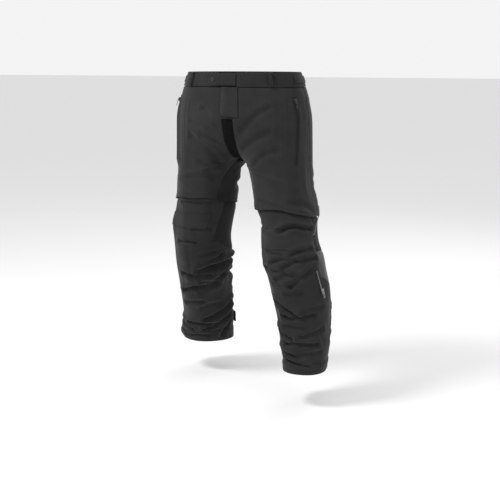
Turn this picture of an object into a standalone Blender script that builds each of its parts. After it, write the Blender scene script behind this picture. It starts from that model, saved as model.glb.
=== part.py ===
"""Protective over-trousers: sewn cloth panels on a waist, two thighs and two shanks.

Metres, +Z up, the front faces -Y and the wearer's left is +X.
The origin is the middle of the waist opening, level with the waistband's top edge.

Every panel is a patch of one body surface. The surface has two parameters:
  v  runs down: 0 waist, 1 top of the rise, 2 crotch level, 10 hem
  s  runs round one half: 0 centre front or inseam, 0.5 outside, 1 centre back or inseam
"""

from math import cos, pi, radians, sin

import bmesh
import bpy
from mathutils import Matrix, Vector

# --- driving dimensions -------------------------------------------------------
RISE_TOP = -0.137
CROTCH = Vector((0.0, 0.022, -0.284))
SHELL = 0.0018
LINER = 0.0010
LINER_DEPTH = 0.0100
HIP_LINER_DEPTH = 0.0130
PAD_DEPTH = 0.0145
PAD = 0.0070
BAND_HEIGHT = 0.046
TAB_ROOT = 0.120
STRAP_ROOT = 1.30

# Pelvis ovals: height, half width, depth in front, depth behind.
PELVIS = (
    (0.0, 0.195, 0.118, 0.124),
    (-0.048, 0.212, 0.126, 0.135),
    (RISE_TOP, 0.240, 0.135, 0.152),
)
PELVIS_POWER = 2.25
LEG_POWER = 2.3

# Leg sections: centre x, y, z, turn-out, front-up tilt, outside-down tilt in degrees,
# then the reach to the front, back, outside and inside.
LEFT_LEG = (
    (0.122, 0.002, -0.325, 4, 0, 13, 0.124, 0.130, 0.124, 0.114),
    (0.145, -0.010, -0.394, 6, 0, 5, 0.113, 0.113, 0.110, 0.100),
    (0.172, -0.027, -0.472, 8, 3, 2, 0.105, 0.101, 0.102, 0.095),
    (0.194, -0.044, -0.551, 9, 5, 0, 0.098, 0.092, 0.092, 0.088),
    (0.210, -0.055, -0.620, 10, 2, 0, 0.096, 0.090, 0.092, 0.088),
    (0.229, -0.055, -0.704, 10, -3, 0, 0.096, 0.096, 0.098, 0.088),
    (0.245, -0.050, -0.798, 10, -5, 0, 0.084, 0.094, 0.090, 0.082),
    (0.252, -0.048, -0.892, 10, -4, 0, 0.080, 0.086, 0.084, 0.080),
    (0.250, -0.048, -0.972, 10, 0, 0, 0.076, 0.082, 0.070, 0.072),
)
RIGHT_LEG = (
    (0.122, 0.010, -0.325, 10, 0, 13, 0.124, 0.130, 0.126, 0.114),
    (0.142, 0.019, -0.394, 18, 0, 5, 0.113, 0.113, 0.110, 0.100),
    (0.160, 0.027, -0.472, 28, 0, 2, 0.103, 0.101, 0.094, 0.092),
    (0.177, 0.032, -0.551, 36, 3, 0, 0.102, 0.097, 0.096, 0.088),
    (0.189, 0.046, -0.620, 39, -3, 0, 0.107, 0.095, 0.095, 0.088),
    (0.199, 0.082, -0.704, 39, -12, 0, 0.095, 0.097, 0.096, 0.092),
    (0.207, 0.113, -0.798, 39, -14, 0, 0.088, 0.095, 0.086, 0.086),
    (0.215, 0.145, -0.892, 39, -10, 0, 0.084, 0.088, 0.082, 0.080),
    (0.219, 0.160, -0.970, 39, 0, 0, 0.084, 0.084, 0.076, 0.076),
)
CROTCH_REACH = 0.22
CROTCH_DROP = 0.65

# The hips turn about an axis along X; the cloth parts on a cylinder round it.
HIP_X = 0.105
HIP_Y = 0.0
HIP_Z = -0.180
HIP_SPLIT = 0.176
HIP_GAP = 0.006

# The knees turn about the leg section at KNEE_V. The thigh ends and the shank starts
# on lines that leave a wedge open behind the knee.
KNEE_V = 5.0
THIGH_END = (3.55, 4.25)
BELLOWS_END = (4.02, 6.05)
SHANK_START = (4.06, 6.09)

# Where panels meet, as places round a half or a leg and heights down it.
INSEAM_EDGE = 0.070
GUSSET_BACK_V = 1.35
OUTSEAM = 0.50
SEAM = 0.003
FLY_EDGE = 0.030
FLY_V = (0.37, 1.05)
FLAP_S = (-0.020, 0.047)
FLAP_OUT = (0.0105, 0.0050)
SHORTS_TOP_V = 0.348
HIP_ZIP_S = 0.37
HIP_ZIP_V = (0.55, 1.55)
CALF_ZIP_S = 0.425
CALF_ZIP_V = (6.10, 6.98)
THIGH_LINING_V = 2.4
HIP_SLIDER_V = 0.67
CALF_SLIDER_V = 6.84
HIP_ZIP_HALF = 0.012
CALF_ZIP_HALF = 0.0145
PATCH_WINDOW = (2, 8, 0, 5)
SIDE_PANEL_S = (0.455, 0.63)
SIDE_PANEL_V = (6.30, 6.95)
SIDE_SEAM = 0.56
HEM_V = (9.47, 10.0)
CUFF_TAB_S = (0.66, 0.835)
CUFF_TAB_V = (8.95, 9.38)

# Zip hardware and trims.
TAPE_THICK = 0.0010
SLIDER = (0.0095, 0.0140, 0.0036)
PULL = (0.0060, 0.0240, 0.0012)
PULL_PIN_DROP = 0.0006
CLEAR = 0.0008
BAND_OUT = 0.0010
TRIM_OUT = 0.0046
TAPE_OUT = 0.0024
PATCH_OUT = 0.0024
TRIM_THICK = 0.0020

SIDES = (("left", 1), ("right", -1))

# --- small helpers ------------------------------------------------------------


def clear_scene():
    for obj in list(bpy.data.objects):
        bpy.data.objects.remove(obj, do_unlink=True)


def lerp(a, b, t):
    return a + (b - a) * t


def smooth(t):
    t = min(max(t, 0.0), 1.0)
    return t * t * (3 - 2 * t)


def signed_power(value, power):
    return abs(value) ** power if value >= 0 else -(abs(value) ** power)


def table_row(table, t):
    """A smooth curve through a table's rows, read at row number t."""
    last = len(table) - 1
    t = min(max(t, 0.0), float(last))
    i = min(int(t), last - 1)
    f = t - i
    p1, p2 = table[i], table[i + 1]
    p0 = table[i - 1] if i > 0 else [2 * a - b for a, b in zip(p1, p2)]
    p3 = table[i + 2] if i + 2 <= last else [2 * b - a for a, b in zip(p1, p2)]
    row = []
    for a, b, c, d in zip(p0, p1, p2, p3):
        linear = c - a
        square = 2 * a - 5 * b + 4 * c - d
        cube = 3 * b - a - 3 * c + d
        row.append(0.5 * (2 * b + linear * f + square * f * f + cube * f**3))
    return row


# --- the body surface ---------------------------------------------------------


def pelvis_point(v, s):
    """A point of the waist or the hips, for the +X half and v up to 1."""
    z = RISE_TOP * v
    upper = 0 if z > PELVIS[1][0] else 1
    top, low = PELVIS[upper], PELVIS[upper + 1]
    t = (top[0] - z) / (top[0] - low[0])
    width, front, back = (lerp(top[k], low[k], t) for k in (1, 2, 3))
    along, across = cos(pi * s), sin(pi * s)
    depth = front if along > 0 else back
    y = -signed_power(along, 2 / PELVIS_POWER) * depth
    return Vector((width * signed_power(across, 2 / PELVIS_POWER), y, z))


def leg_axes(row):
    """The forward and outward directions of a leg section."""
    turn, front_up, out_down = (radians(a) for a in row[3:6])
    forward = Vector((sin(turn) * cos(front_up), -cos(turn) * cos(front_up), sin(front_up)))
    outward = Vector((cos(turn) * cos(out_down), sin(turn) * cos(out_down), -sin(out_down)))
    return forward, outward


def leg_point(table, k, s):
    """A point on section k of a leg, for the +X half."""
    row = table_row(table, k)
    forward, outward = leg_axes(row)
    front, back, outside, inside = row[6:10]
    along, across = cos(2 * pi * s - pi / 2), sin(2 * pi * s - pi / 2)
    reach_f = signed_power(along, 2 / LEG_POWER) * (front if along > 0 else back)
    reach_o = signed_power(across, 2 / LEG_POWER) * (outside if across > 0 else inside)
    return Vector(row[:3]) + forward * reach_f + outward * reach_o


def crotch_pull(table, s):
    """Moves the inside of the top leg section onto the crotch point."""
    near = 1 - min(s, 1 - s) / CROTCH_REACH
    return (CROTCH - leg_point(table, 0, 0.0)) * smooth(near)


def leg_table(side):
    return LEFT_LEG if side > 0 else RIGHT_LEG


def body_point(side, v, s):
    """A point of the body surface. On the legs s may run past 0 or 1."""
    table = leg_table(side)
    if v < 2 and s < 0:
        return body_point(-side, v, -s)
    if v < 2 and s > 1:
        return body_point(-side, v, 2 - s)
    if v <= 1:
        point = pelvis_point(v, s)
    elif v < 2:
        turn = (v - 1) * pi / 2
        top = pelvis_point(1, s)
        low = leg_point(table, 0, s) + crotch_pull(table, s)
        point = top.lerp(low, 1 - cos(turn))
        point.z = lerp(top.z, low.z, sin(turn))
    else:
        point = leg_point(table, v - 2, s % 1)
        point += crotch_pull(table, s % 1) * smooth(1 - (v - 2) / CROTCH_DROP)
    point.x *= side
    return point


def body_normal(side, v, s):
    """The outward direction of the body surface."""
    step = 0.01
    down = body_point(side, v + step, s) - body_point(side, v - step, s)
    round_ = body_point(side, v, s + step) - body_point(side, v, s - step)
    normal = down.cross(round_) * side
    return normal.normalized()


def on_body(side, v, s, out=0.0):
    return body_point(side, v, s) + body_normal(side, v, s) * out


# --- where the cloth parts at the hips and knees --------------------------------


def hip_split_v(side, s, radius):
    """How far down the surface reaches a radius from the hip axis."""
    low, high = 1.3, 3.4
    for _ in range(24):
        middle = (low + high) / 2
        point = body_point(side, middle, s)
        reach = ((point.y - HIP_Y) ** 2 + (point.z - HIP_Z) ** 2) ** 0.5
        if reach < radius:
            low = middle
        else:
            high = middle
    return (low + high) / 2


def shorts_end(side):
    return lambda s: hip_split_v(side, s, HIP_SPLIT - HIP_GAP / 2)


def thigh_start(side):
    return lambda s: hip_split_v(side, s, HIP_SPLIT + HIP_GAP / 2)


def round_knee(ends):
    """A line round the leg: its first height in front and its second behind."""
    return lambda s: lerp(ends[0], ends[1], 0.5 - 0.5 * sin(2 * pi * s))


# --- mesh makers ----------------------------------------------------------------


def material(name, colour, roughness, metallic=0.0):
    made = bpy.data.materials.new(name)
    made.use_nodes = True
    shader = made.node_tree.nodes["Principled BSDF"]
    shader.inputs["Base Color"].default_value = (*colour, 1.0)
    shader.inputs["Roughness"].default_value = roughness
    shader.inputs["Metallic"].default_value = metallic
    return made


def add_object(name, mesh, look):
    obj = bpy.data.objects.new(name, mesh)
    mesh.materials.append(look)
    mesh.shade_smooth()
    mesh.set_sharp_from_angle(angle=radians(40))
    parts.objects.link(obj)
    return obj


def loft(name, rows, look, closed=False):
    """A sheet through rows of points. It starts unclosed, with no thickness."""
    shape = bmesh.new()
    grid = [[shape.verts.new(point) for point in row] for row in rows]
    columns = len(grid[0])
    for upper, lower in zip(grid, grid[1:]):
        for j in range(columns if closed else columns - 1):
            k = (j + 1) % columns
            shape.faces.new((upper[j], lower[j], lower[k], upper[k]))
    mesh = bpy.data.meshes.new(name)
    shape.to_mesh(mesh)
    shape.free()
    return add_object(name, mesh, look)


def thicken(obj, thickness):
    """Gives a sheet its thickness, inwards from its outer face."""
    solid = obj.modifiers.new("thickness", "SOLIDIFY")
    solid.thickness = thickness
    solid.offset = -1.0
    return obj


def pivot(name, place, pieces, parent=None):
    """Puts an empty on a joint's axis and parents the pieces that move with it."""
    empty = bpy.data.objects.new(f"{name}_pivot", None)
    empty.empty_display_size = 0.03
    parts.objects.link(empty)
    children = [parts.objects[piece] for piece in pieces]
    for child, holder in [(empty, parent)] + [(piece, empty) for piece in children]:
        child.parent = holder
    to_holder = Matrix.Translation(-Vector(parent["place"])) if parent else Matrix()
    empty.location = to_holder @ place
    empty["place"] = place
    for piece in children:
        piece.matrix_parent_inverse = Matrix.Translation(-place)
    return empty


def fixed(value):
    return value if callable(value) else lambda _: value


def patch_places(s_from, s_to, v_from, v_to, columns, rows):
    """Parameters of a patch whose four edges may each be a function of the other."""
    s_from, s_to, v_from, v_to = (fixed(edge) for edge in (s_from, s_to, v_from, v_to))
    places = []
    for i in range(rows + 1):
        line = []
        for j in range(columns + 1):
            s, v = 0.25, 2.0
            for _ in range(5):
                v = lerp(v_from(s), v_to(s), i / rows)
                s = lerp(s_from(v), s_to(v), j / columns)
            line.append((v, s))
        places.append(line)
    return places


def panel(name, side, s_range, v_range, look, size, out=0.0, thickness=SHELL, window=None):
    """A cloth panel: a patch of the body surface, thickened inwards.

    A window is the first and last column and row of the patch that the panel keeps, so
    that a layer on a panel follows that panel's own facets.
    """
    columns, rows = size
    places = patch_places(*s_range, *v_range, columns, rows)
    if window:
        first, last, top, low = window
        places = [line[first : last + 1] for line in places[top : low + 1]]
    out = fixed(out)
    points = [[on_body(side, v, s, out(s)) for v, s in line] for line in places]
    if side < 0:
        points = [line[::-1] for line in points]
    return thicken(loft(name, points, look), thickness)


def ring(name, side, v_range, look, size, out=0.0, thickness=SHELL):
    """A closed sleeve round one leg, thickened inwards."""
    columns, rows = size
    places = [j / columns for j in range(columns)]
    v_from, v_to = (fixed(edge) for edge in v_range)
    points = []
    for i in range(rows + 1):
        line = [(lerp(v_from(s), v_to(s), i / rows), s) for s in places]
        points.append([on_body(side, v, s, out) for v, s in line])
    if side < 0:
        points = [line[::-1] for line in points]
    return thicken(loft(name, points, look, closed=True), thickness)


def outline_plate(name, frame, outline, thickness, look):
    """A flat plate cut to an outline in the frame's X and Y."""
    curve = bpy.data.curves.new(name, "CURVE")
    curve.dimensions = "2D"
    curve.fill_mode = "BOTH"
    curve.extrude = thickness / 2
    spline = curve.splines.new("POLY")
    spline.points.add(len(outline) - 1)
    spline.use_cyclic_u = True
    for target, (x, y) in zip(spline.points, outline):
        target.co = (x, y, 0.0, 1.0)
    obj = bpy.data.objects.new(name, curve)
    curve.materials.append(look)
    obj.matrix_world = frame
    parts.objects.link(obj)
    return obj


def rounded_outline(width, height, radius, steps=4):
    """A rectangle with round corners about the origin."""
    points = []
    for corner in range(4):
        cx = (width / 2 - radius) * (1 if corner in (0, 3) else -1)
        cy = (height / 2 - radius) * (1 if corner in (0, 1) else -1)
        for i in range(steps + 1):
            turn = pi / 2 * (corner + i / steps)
            points.append((cx + radius * cos(turn), cy + radius * sin(turn)))
    return points


def circle_outline(radius, centre=(0.0, 0.0), steps=14):
    turns = [2 * pi * i / steps for i in range(steps)]
    return [(centre[0] + radius * cos(t), centre[1] + radius * sin(t)) for t in turns]


def frame_from(origin, across, up, out):
    turn = Matrix((across, up, out)).transposed()
    return Matrix.Translation(origin) @ turn.to_4x4()


def flat_frame(point, out):
    """A frame whose Z faces outwards and whose Y is as near straight up as it can be."""
    out = out.normalized()
    up = Vector((0.0, 0.0, 1.0))
    up = (up - out * up.dot(out)).normalized()
    return frame_from(point, up.cross(out), up, out)


def hanging_direction(facing):
    """The way a pull faces: flat on cloth that leans back, and plumb off cloth that overhangs."""
    return Vector((facing.x, facing.y, max(facing.z, 0.0))).normalized()


# --- the pieces -----------------------------------------------------------------


def gusset_front(v):
    """Half the gusset's width in front of the crotch, as a place round the half."""
    return lerp(FLY_EDGE, INSEAM_EDGE, smooth((v - FLY_V[1]) / (2 - FLY_V[1])))


def gusset_back(v):
    """Half the gusset's width behind the crotch."""
    return lerp(SEAM, INSEAM_EDGE, smooth((v - GUSSET_BACK_V) / (2 - GUSSET_BACK_V)))


def seat_inner_edge(v):
    return 1 - gusset_back(v)


def make_shorts():
    """The panels and the lining of the hips, down to the bend of the hip."""
    for word, side in SIDES:
        end = shorts_end(side)
        front = (gusset_front, OUTSEAM - SEAM), (SHORTS_TOP_V, end)
        back = (OUTSEAM + SEAM, seat_inner_edge), (SHORTS_TOP_V, end)
        lining = (8 * SEAM, 1 - 8 * SEAM), (SHORTS_TOP_V, end)
        panel(f"front_panel_{word}", side, *front, looks["shell"], (12, 8))
        panel(f"seat_panel_{word}", side, *back, looks["shell"], (10, 8))
        panel(f"hip_lining_{word}", side, *lining, looks["lining"], (20, 8), -HIP_LINER_DEPTH, LINER)


def gusset_edges(side):
    """The gusset's side edge from front to back. q is negative behind the inseam."""
    split = shorts_end(side)
    ease = 4 * SEAM
    front = [(gusset_front(v) - ease, v) for v in (1.08, 1.22, 1.40, 1.60, 1.80, 2.00, 2.15)]
    wide = front[-1][0]
    shares = (1.0, 0.5, 0.0, -0.5, -1.0)
    around = [(q * wide, split(q * wide % 1) - 0.01) for q in shares]
    back = [(2 * ease - gusset_back(v), v) for v in (2.15, 2.00, 1.90, 1.82, 1.75, 1.70, 1.66)]
    return front + around + back


def gusset_seam():
    """The centre seam, from the fly's foot through the crotch to the centre back."""
    down = [1.08, 1.22, 1.40, 1.60, 1.78, 1.90, 1.95, 1.97, 1.99]
    up = [1.99, 1.97, 1.95, 1.92, 1.88, 1.82, 1.75, 1.70, 1.66]
    return [(0.0, v) for v in down] + [(0.0, 2.0)] + [(1.0, v) for v in up]


def make_gusset():
    """The stretch gusset under the fly and through the crotch."""
    rows = []
    for (seam_s, seam_v), left, right in zip(gusset_seam(), gusset_edges(1), gusset_edges(-1)):
        row = [body_point(1, seam_v, seam_s)]
        for side, (q, v) in ((1, left), (-1, right)):
            s = q if q > 0 or (q == 0 and seam_s == 0) else 1 + q
            for share in (0.5, 1.0):
                point = body_point(side, lerp(seam_v, v, share), lerp(seam_s, s, share))
                row.insert(len(row) if side > 0 else 0, point)
        rows.append(row)
    thicken(loft("crotch_gusset", rows, looks["stretch"]), SHELL)


def waist_point(angle, z, out):
    """A point of the waist. The angle is 0 in front, positive towards +X."""
    side = 1 if sin(angle) >= 0 else -1
    s = abs((angle + pi) % (2 * pi) - pi) / pi
    width, depth = PELVIS[0][1], PELVIS[0][2]
    point = body_point(side, z / RISE_TOP, s)
    level = Vector((point.x / width**2, point.y / depth**2, 0.0)).normalized()
    return Vector((point.x, point.y, z)) + level * out


def waist_band(name, angles, heights, out, thickness, look, columns):
    """A length of band that follows the waist."""
    rows = []
    for z in heights:
        turns = [lerp(*angles, j / columns) for j in range(columns + 1)]
        rows.append([waist_point(angle, z, out) for angle in turns])
    return thicken(loft(name, rows, look), thickness)


def make_waist():
    """The waistband in three lengths, its closing tab and the take-up straps."""
    back, ease = 2.45, 0.006
    full = (0.0, -BAND_HEIGHT / 2, -BAND_HEIGHT)
    narrow = (-0.004, -BAND_HEIGHT / 2, 0.004 - BAND_HEIGHT)
    strap = (-0.012, -BAND_HEIGHT / 2, 0.012 - BAND_HEIGHT)
    band, stretch = looks["band"], looks["stretch"]
    waist_band("waistband_left", (TAB_ROOT + ease, back), full, BAND_OUT, 0.0035, band, 14)
    waist_band("waistband_right", (-back, -TAB_ROOT), full, BAND_OUT, 0.0035, band, 14)
    behind = (back + ease, 2 * pi - back - ease)
    waist_band("waistband_back", behind, full, BAND_OUT, 0.0030, stretch, 10)
    waist_band("waist_tab", (-0.30, TAB_ROOT), narrow, TRIM_OUT, TRIM_THICK, band, 6)
    for word, side in SIDES:
        angles = sorted((side * STRAP_ROOT, side * 1.95))
        waist_band(f"take_up_strap_{word}", angles, strap, TRIM_OUT, TRIM_THICK, band, 5)
    facing = waist_point(-0.21, -BAND_HEIGHT / 2, 1.0) - waist_point(-0.21, -BAND_HEIGHT / 2, 0.0)
    middle = waist_point(-0.21, -BAND_HEIGHT / 2, TRIM_OUT + 3 * CLEAR)
    cap = circle_outline(0.0075)
    outline_plate("snap_cap", flat_frame(middle, facing), cap, 0.0020, looks["metal"])


def make_belt_loops():
    """Webbing loops that stand over the waistband, open from side to side."""
    half, wall, gap, width = 0.0215, 0.0015, 0.0078, 0.0120
    outer = [(-half, 0.0), (-half, gap + wall), (half, gap + wall), (half, 0.0)]
    inner = [(half - wall, 0.0), (half - wall, gap), (wall - half, gap), (wall - half, 0.0)]
    for name, angle in (("front_left", 0.72), ("front_right", -0.72), ("back", pi)):
        base = waist_point(angle, -BAND_HEIGHT / 2, BAND_OUT + CLEAR)
        out = (waist_point(angle, -BAND_HEIGHT / 2, 1.0) - base).normalized()
        up = (waist_point(angle, -0.010, 0.0) - waist_point(angle, -0.036, 0.0)).normalized()
        out = (out - up * out.dot(up)).normalized()
        frame = frame_from(base, up, out, up.cross(out))
        outline_plate(f"belt_loop_{name}", frame, outer + inner, width, looks["band"])


def flap_out(s):
    """The fly flap stands over the zip and comes down to its sewn edge."""
    return lerp(*FLAP_OUT, smooth((s - 0.026) / 0.016))


def pull_pin(point, facing):
    """The frames of a pull's pin and of the pull that hangs from it."""
    pin = flat_frame(point + facing * (SLIDER[2] + 2 * CLEAR + PULL[2] / 2), facing)
    return pin, flat_frame(pin.translation, hanging_direction(facing))


def zip_hardware(name, point, facing):
    """A slider, and the pull that hangs from it."""
    frame = flat_frame(point + facing * (SLIDER[2] / 2 + CLEAR), facing)
    slider_block(f"{name}_slider", frame)
    pin, hang = pull_pin(point, facing)
    centre = pin.translation - Vector(hang.col[1][:3]) * (PULL[1] / 2 - PULL_PIN_DROP)
    hang.translation = centre
    plate = rounded_outline(PULL[0], PULL[1], 0.0020)
    outline_plate(f"{name}_pull", hang, plate, PULL[2], looks["metal"])
    pivot(f"{name}_pull", pin.translation, (f"{name}_pull",))


def slider_block(name, frame):
    """A zip's slider: a block with chamfered edges."""
    shape = bmesh.new()
    bmesh.ops.create_cube(shape, size=1.0)
    bmesh.ops.scale(shape, vec=SLIDER, verts=shape.verts)
    mesh = bpy.data.meshes.new(name)
    shape.to_mesh(mesh)
    shape.free()
    obj = add_object(name, mesh, looks["metal"])
    obj.matrix_world = frame
    chamfer = obj.modifiers.new("chamfer", "BEVEL")
    chamfer.width = 0.0008
    chamfer.segments = 1


def fly_slider_place():
    """Where the fly's slider stands when the fly is closed, and the way it faces."""
    return body_point(1, FLY_V[0] + 0.10, 0.0), body_normal(1, FLY_V[0] + 0.10, 0.0)


def make_fly():
    """The zip at the centre front and the flap that covers it."""
    for word, side in SIDES:
        across = (0.0010, FLY_EDGE - 0.0012)
        panel(f"fly_tape_{word}", side, across, FLY_V, looks["tape"], (3, 7), 0.0, TAPE_THICK)
    flap_v = (FLY_V[0] + 0.02, FLY_V[1] - 0.03)
    panel("fly_flap", 1, FLAP_S, flap_v, looks["shell"], (8, 7), flap_out)
    zip_hardware("fly", *fly_slider_place())


def zip_place(side, s, v):
    """A point on a zip's tape, and the way it faces."""
    return on_body(side, v, s, TAPE_OUT), body_normal(side, v, s)


def make_zip(name, side, s, v_range, slider_v, half):
    """A zip on the outside of a panel, with its slider at a height."""
    across = (s - half, s + half)
    panel(f"{name}_tape", side, across, v_range, looks["tape"], (2, 8), TAPE_OUT, TAPE_THICK)
    zip_hardware(name, *zip_place(side, s, slider_v))


def make_thighs():
    """The panels between the hip's bend and the knee's bend."""
    for word, side in SIDES:
        ends = thigh_start(side), round_knee(THIGH_END)
        front = (INSEAM_EDGE, OUTSEAM - SEAM), ends
        back = (OUTSEAM + SEAM, 1 - INSEAM_EDGE), ends
        inside = (SEAM - INSEAM_EDGE, INSEAM_EDGE - SEAM), ends
        panel(f"thigh_front_{word}", side, *front, looks["shell"], (8, 4))
        panel(f"thigh_back_{word}", side, *back, looks["shell"], (8, 4))
        panel(f"inner_thigh_strip_{word}", side, *inside, looks["stretch"], (3, 4))
        start = thigh_start(side)
        sleeve = (lambda s: max(start(s) + 0.15, THIGH_LINING_V)), round_knee(THIGH_END)
        ring(f"thigh_lining_{word}", side, sleeve, looks["lining"], (28, 3), -HIP_LINER_DEPTH, LINER)
        bend = round_knee([v + 0.03 for v in THIGH_END]), round_knee(BELLOWS_END)
        ring(f"knee_bellows_{word}", side, bend, looks["stretch"], (20, 3))


def side_panel_edges(v):
    """The front and back edges of the side panel, which meet in one seam below it."""
    top, low = SIDE_PANEL_V
    share = smooth((v - top) / (low - top))
    return [lerp(edge, SIDE_SEAM, share) for edge in SIDE_PANEL_S]


def shin_edge(v):
    return side_panel_edges(v)[0] - SEAM


def calf_edge(v):
    return side_panel_edges(v)[1] + SEAM


def tab_out(s):
    """The cuff tab's free end stands proud."""
    return lerp(0.0040, 0.0100, smooth((s - 0.79) / 0.045))


def make_shanks():
    """The panels from the knee to the hem, with the knee's armour inside."""
    shell = looks["shell"]
    for word, side in SIDES:
        top, hem = round_knee(SHANK_START), HEM_V[0] - 0.02
        shin = (SEAM, shin_edge), (top, hem)
        panel(f"shin_panel_{word}", side, *shin, shell, (10, 12))
        patch = looks["patch"], (10, 12), PATCH_OUT, SHELL, PATCH_WINDOW
        panel(f"knee_patch_{word}", side, *shin, *patch)
        panel(f"calf_panel_{word}", side, (calf_edge, 1 - SEAM), (top, hem), shell, (9, 14))
        middle = (lambda v: shin_edge(v) + 2 * SEAM), (lambda v: calf_edge(v) - 2 * SEAM)
        low = SIDE_PANEL_V[1] - 0.17
        panel(f"side_panel_{word}", side, middle, (top, low), looks["side"], (3, 8))
        pad = (0.11, 0.39), (4.45, 6.25), looks["pad"], (8, 5), -PAD_DEPTH, PAD
        panel(f"knee_pad_{word}", side, *pad)
        sleeve = top, HEM_V[1] - 0.1
        ring(f"shank_lining_{word}", side, sleeve, looks["lining"], (28, 8), -LINER_DEPTH, LINER)
        ring(f"cuff_hem_{word}", side, HEM_V, shell, (24, 1), 0.0010, 0.0030)
        panel(f"cuff_tab_{word}", side, CUFF_TAB_S, CUFF_TAB_V, looks["band"], (6, 1), tab_out)
        make_zip(f"calf_zip_{word}", side, CALF_ZIP_S, CALF_ZIP_V, CALF_SLIDER_V, CALF_ZIP_HALF)


def shank_pieces(word):
    panels = ("shin_panel", "calf_panel", "side_panel", "knee_patch", "knee_pad", "shank_lining", "cuff_hem")
    zip_pieces = [f"calf_zip_{word}_{piece}" for piece in ("tape", "slider")]
    return [f"{piece}_{word}" for piece in panels] + zip_pieces


def thigh_pieces(word):
    panels = ("thigh_front", "thigh_back", "inner_thigh_strip", "thigh_lining", "knee_bellows")
    return [f"{piece}_{word}" for piece in panels]


def add_pivots():
    """Parents each moving group to an empty on its joint's axis."""
    middle, hinge_out = -BAND_HEIGHT / 2, TRIM_OUT - TRIM_THICK / 2
    pivot("waist_tab", waist_point(TAB_ROOT, middle, hinge_out), ("waist_tab", "snap_cap"))
    flap_middle = (FLY_V[0] + FLY_V[1]) / 2
    pivot("fly_flap", on_body(1, flap_middle, FLAP_S[1], FLAP_OUT[1]), ("fly_flap",))
    for word, side in SIDES:
        root = waist_point(side * STRAP_ROOT, middle, hinge_out)
        pivot(f"take_up_strap_{word}", root, (f"take_up_strap_{word}",))
        hip = pivot(f"hip_{word}", Vector((side * HIP_X, HIP_Y, HIP_Z)), thigh_pieces(word))
        x, y, z = table_row(leg_table(side), KNEE_V - 2)[:3]
        knee = pivot(f"knee_{word}", Vector((side * x, y, z)), shank_pieces(word), hip)
        cuff = on_body(side, sum(CUFF_TAB_V) / 2, CUFF_TAB_S[0], tab_out(CUFF_TAB_S[0]))
        pivot(f"cuff_tab_{word}", cuff, (f"cuff_tab_{word}",), knee)


looks = {}
parts = bpy.data.collections.new("over_trousers")


def make_looks():
    looks["shell"] = material("shell_fabric", (0.030, 0.030, 0.032), 0.85)
    looks["patch"] = material("patch_fabric", (0.026, 0.026, 0.028), 0.80)
    looks["stretch"] = material("stretch_fabric", (0.006, 0.006, 0.007), 0.90)
    looks["side"] = material("side_fabric", (0.110, 0.110, 0.115), 0.55)
    looks["band"] = material("band_fabric", (0.022, 0.022, 0.024), 0.80)
    looks["lining"] = material("lining_mesh", (0.020, 0.020, 0.022), 0.70)
    looks["tape"] = material("zip_tape", (0.015, 0.015, 0.016), 0.60)
    looks["pad"] = material("armour_foam", (0.040, 0.045, 0.050), 0.70)
    looks["metal"] = material("zip_metal", (0.180, 0.180, 0.185), 0.35, 0.9)


def main():
    clear_scene()
    bpy.context.scene.collection.children.link(parts)
    make_looks()
    make_shorts()
    make_gusset()
    make_waist()
    make_belt_loops()
    make_fly()
    for word, side in SIDES:
        make_zip(f"hip_zip_{word}", side, HIP_ZIP_S, HIP_ZIP_V, HIP_SLIDER_V, HIP_ZIP_HALF)
    make_thighs()
    make_shanks()
    add_pivots()


main()
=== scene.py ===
"""The looks of the over-trousers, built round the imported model.

Metres, +Z up, the front faces -Y and the wearer's left is +X. All the cloth lies on one
surface with two parameters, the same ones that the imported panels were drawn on:
  v  runs down: 0 waist, 1 top of the rise, 2 crotch level, 10 hem
  s  runs round one half: 0 centre front or inseam, 0.5 outside, 1 centre back or inseam
The surface is folded as sewn cloth folds and settled by a cloth simulation, then each
sewn panel is cut out of it.
"""

from math import cos, pi, radians, sin

import bpy
import numpy as np
from mathutils import Matrix, Vector


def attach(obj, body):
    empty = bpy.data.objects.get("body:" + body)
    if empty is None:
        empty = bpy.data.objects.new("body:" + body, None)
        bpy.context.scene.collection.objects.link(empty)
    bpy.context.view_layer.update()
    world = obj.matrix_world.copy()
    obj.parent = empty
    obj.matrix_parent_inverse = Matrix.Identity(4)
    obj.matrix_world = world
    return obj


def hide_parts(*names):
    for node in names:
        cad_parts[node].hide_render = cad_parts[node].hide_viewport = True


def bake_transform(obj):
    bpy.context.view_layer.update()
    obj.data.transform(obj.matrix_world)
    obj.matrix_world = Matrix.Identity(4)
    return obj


SIDES = (("left", 1), ("right", -1))

# --- the body surface ---
RISE_TOP = -0.137
CROTCH = np.array((0.0, 0.022, -0.284))
# Height, half width, depth in front, depth behind.
PELVIS = np.array((
    (0.0, 0.195, 0.118, 0.124),
    (-0.048, 0.212, 0.126, 0.135),
    (-0.137, 0.240, 0.135, 0.152),
))
# Centre x, y, z, turn-out, front-up tilt, outside-down tilt in degrees, then the reach
# to the front, back, outside and inside.
LEFT_LEG = np.array((
    (0.122, 0.002, -0.325, 4, 0, 13, 0.124, 0.130, 0.124, 0.114),
    (0.145, -0.010, -0.394, 6, 0, 5, 0.113, 0.113, 0.110, 0.100),
    (0.172, -0.027, -0.472, 8, 3, 2, 0.105, 0.101, 0.102, 0.095),
    (0.194, -0.044, -0.551, 9, 5, 0, 0.098, 0.092, 0.092, 0.088),
    (0.210, -0.055, -0.620, 10, 2, 0, 0.096, 0.090, 0.092, 0.088),
    (0.229, -0.055, -0.704, 10, -3, 0, 0.096, 0.096, 0.098, 0.088),
    (0.245, -0.050, -0.798, 10, -5, 0, 0.084, 0.094, 0.090, 0.082),
    (0.252, -0.048, -0.892, 10, -4, 0, 0.080, 0.086, 0.084, 0.080),
    (0.250, -0.048, -0.972, 10, 0, 0, 0.076, 0.082, 0.070, 0.072),
))
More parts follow.
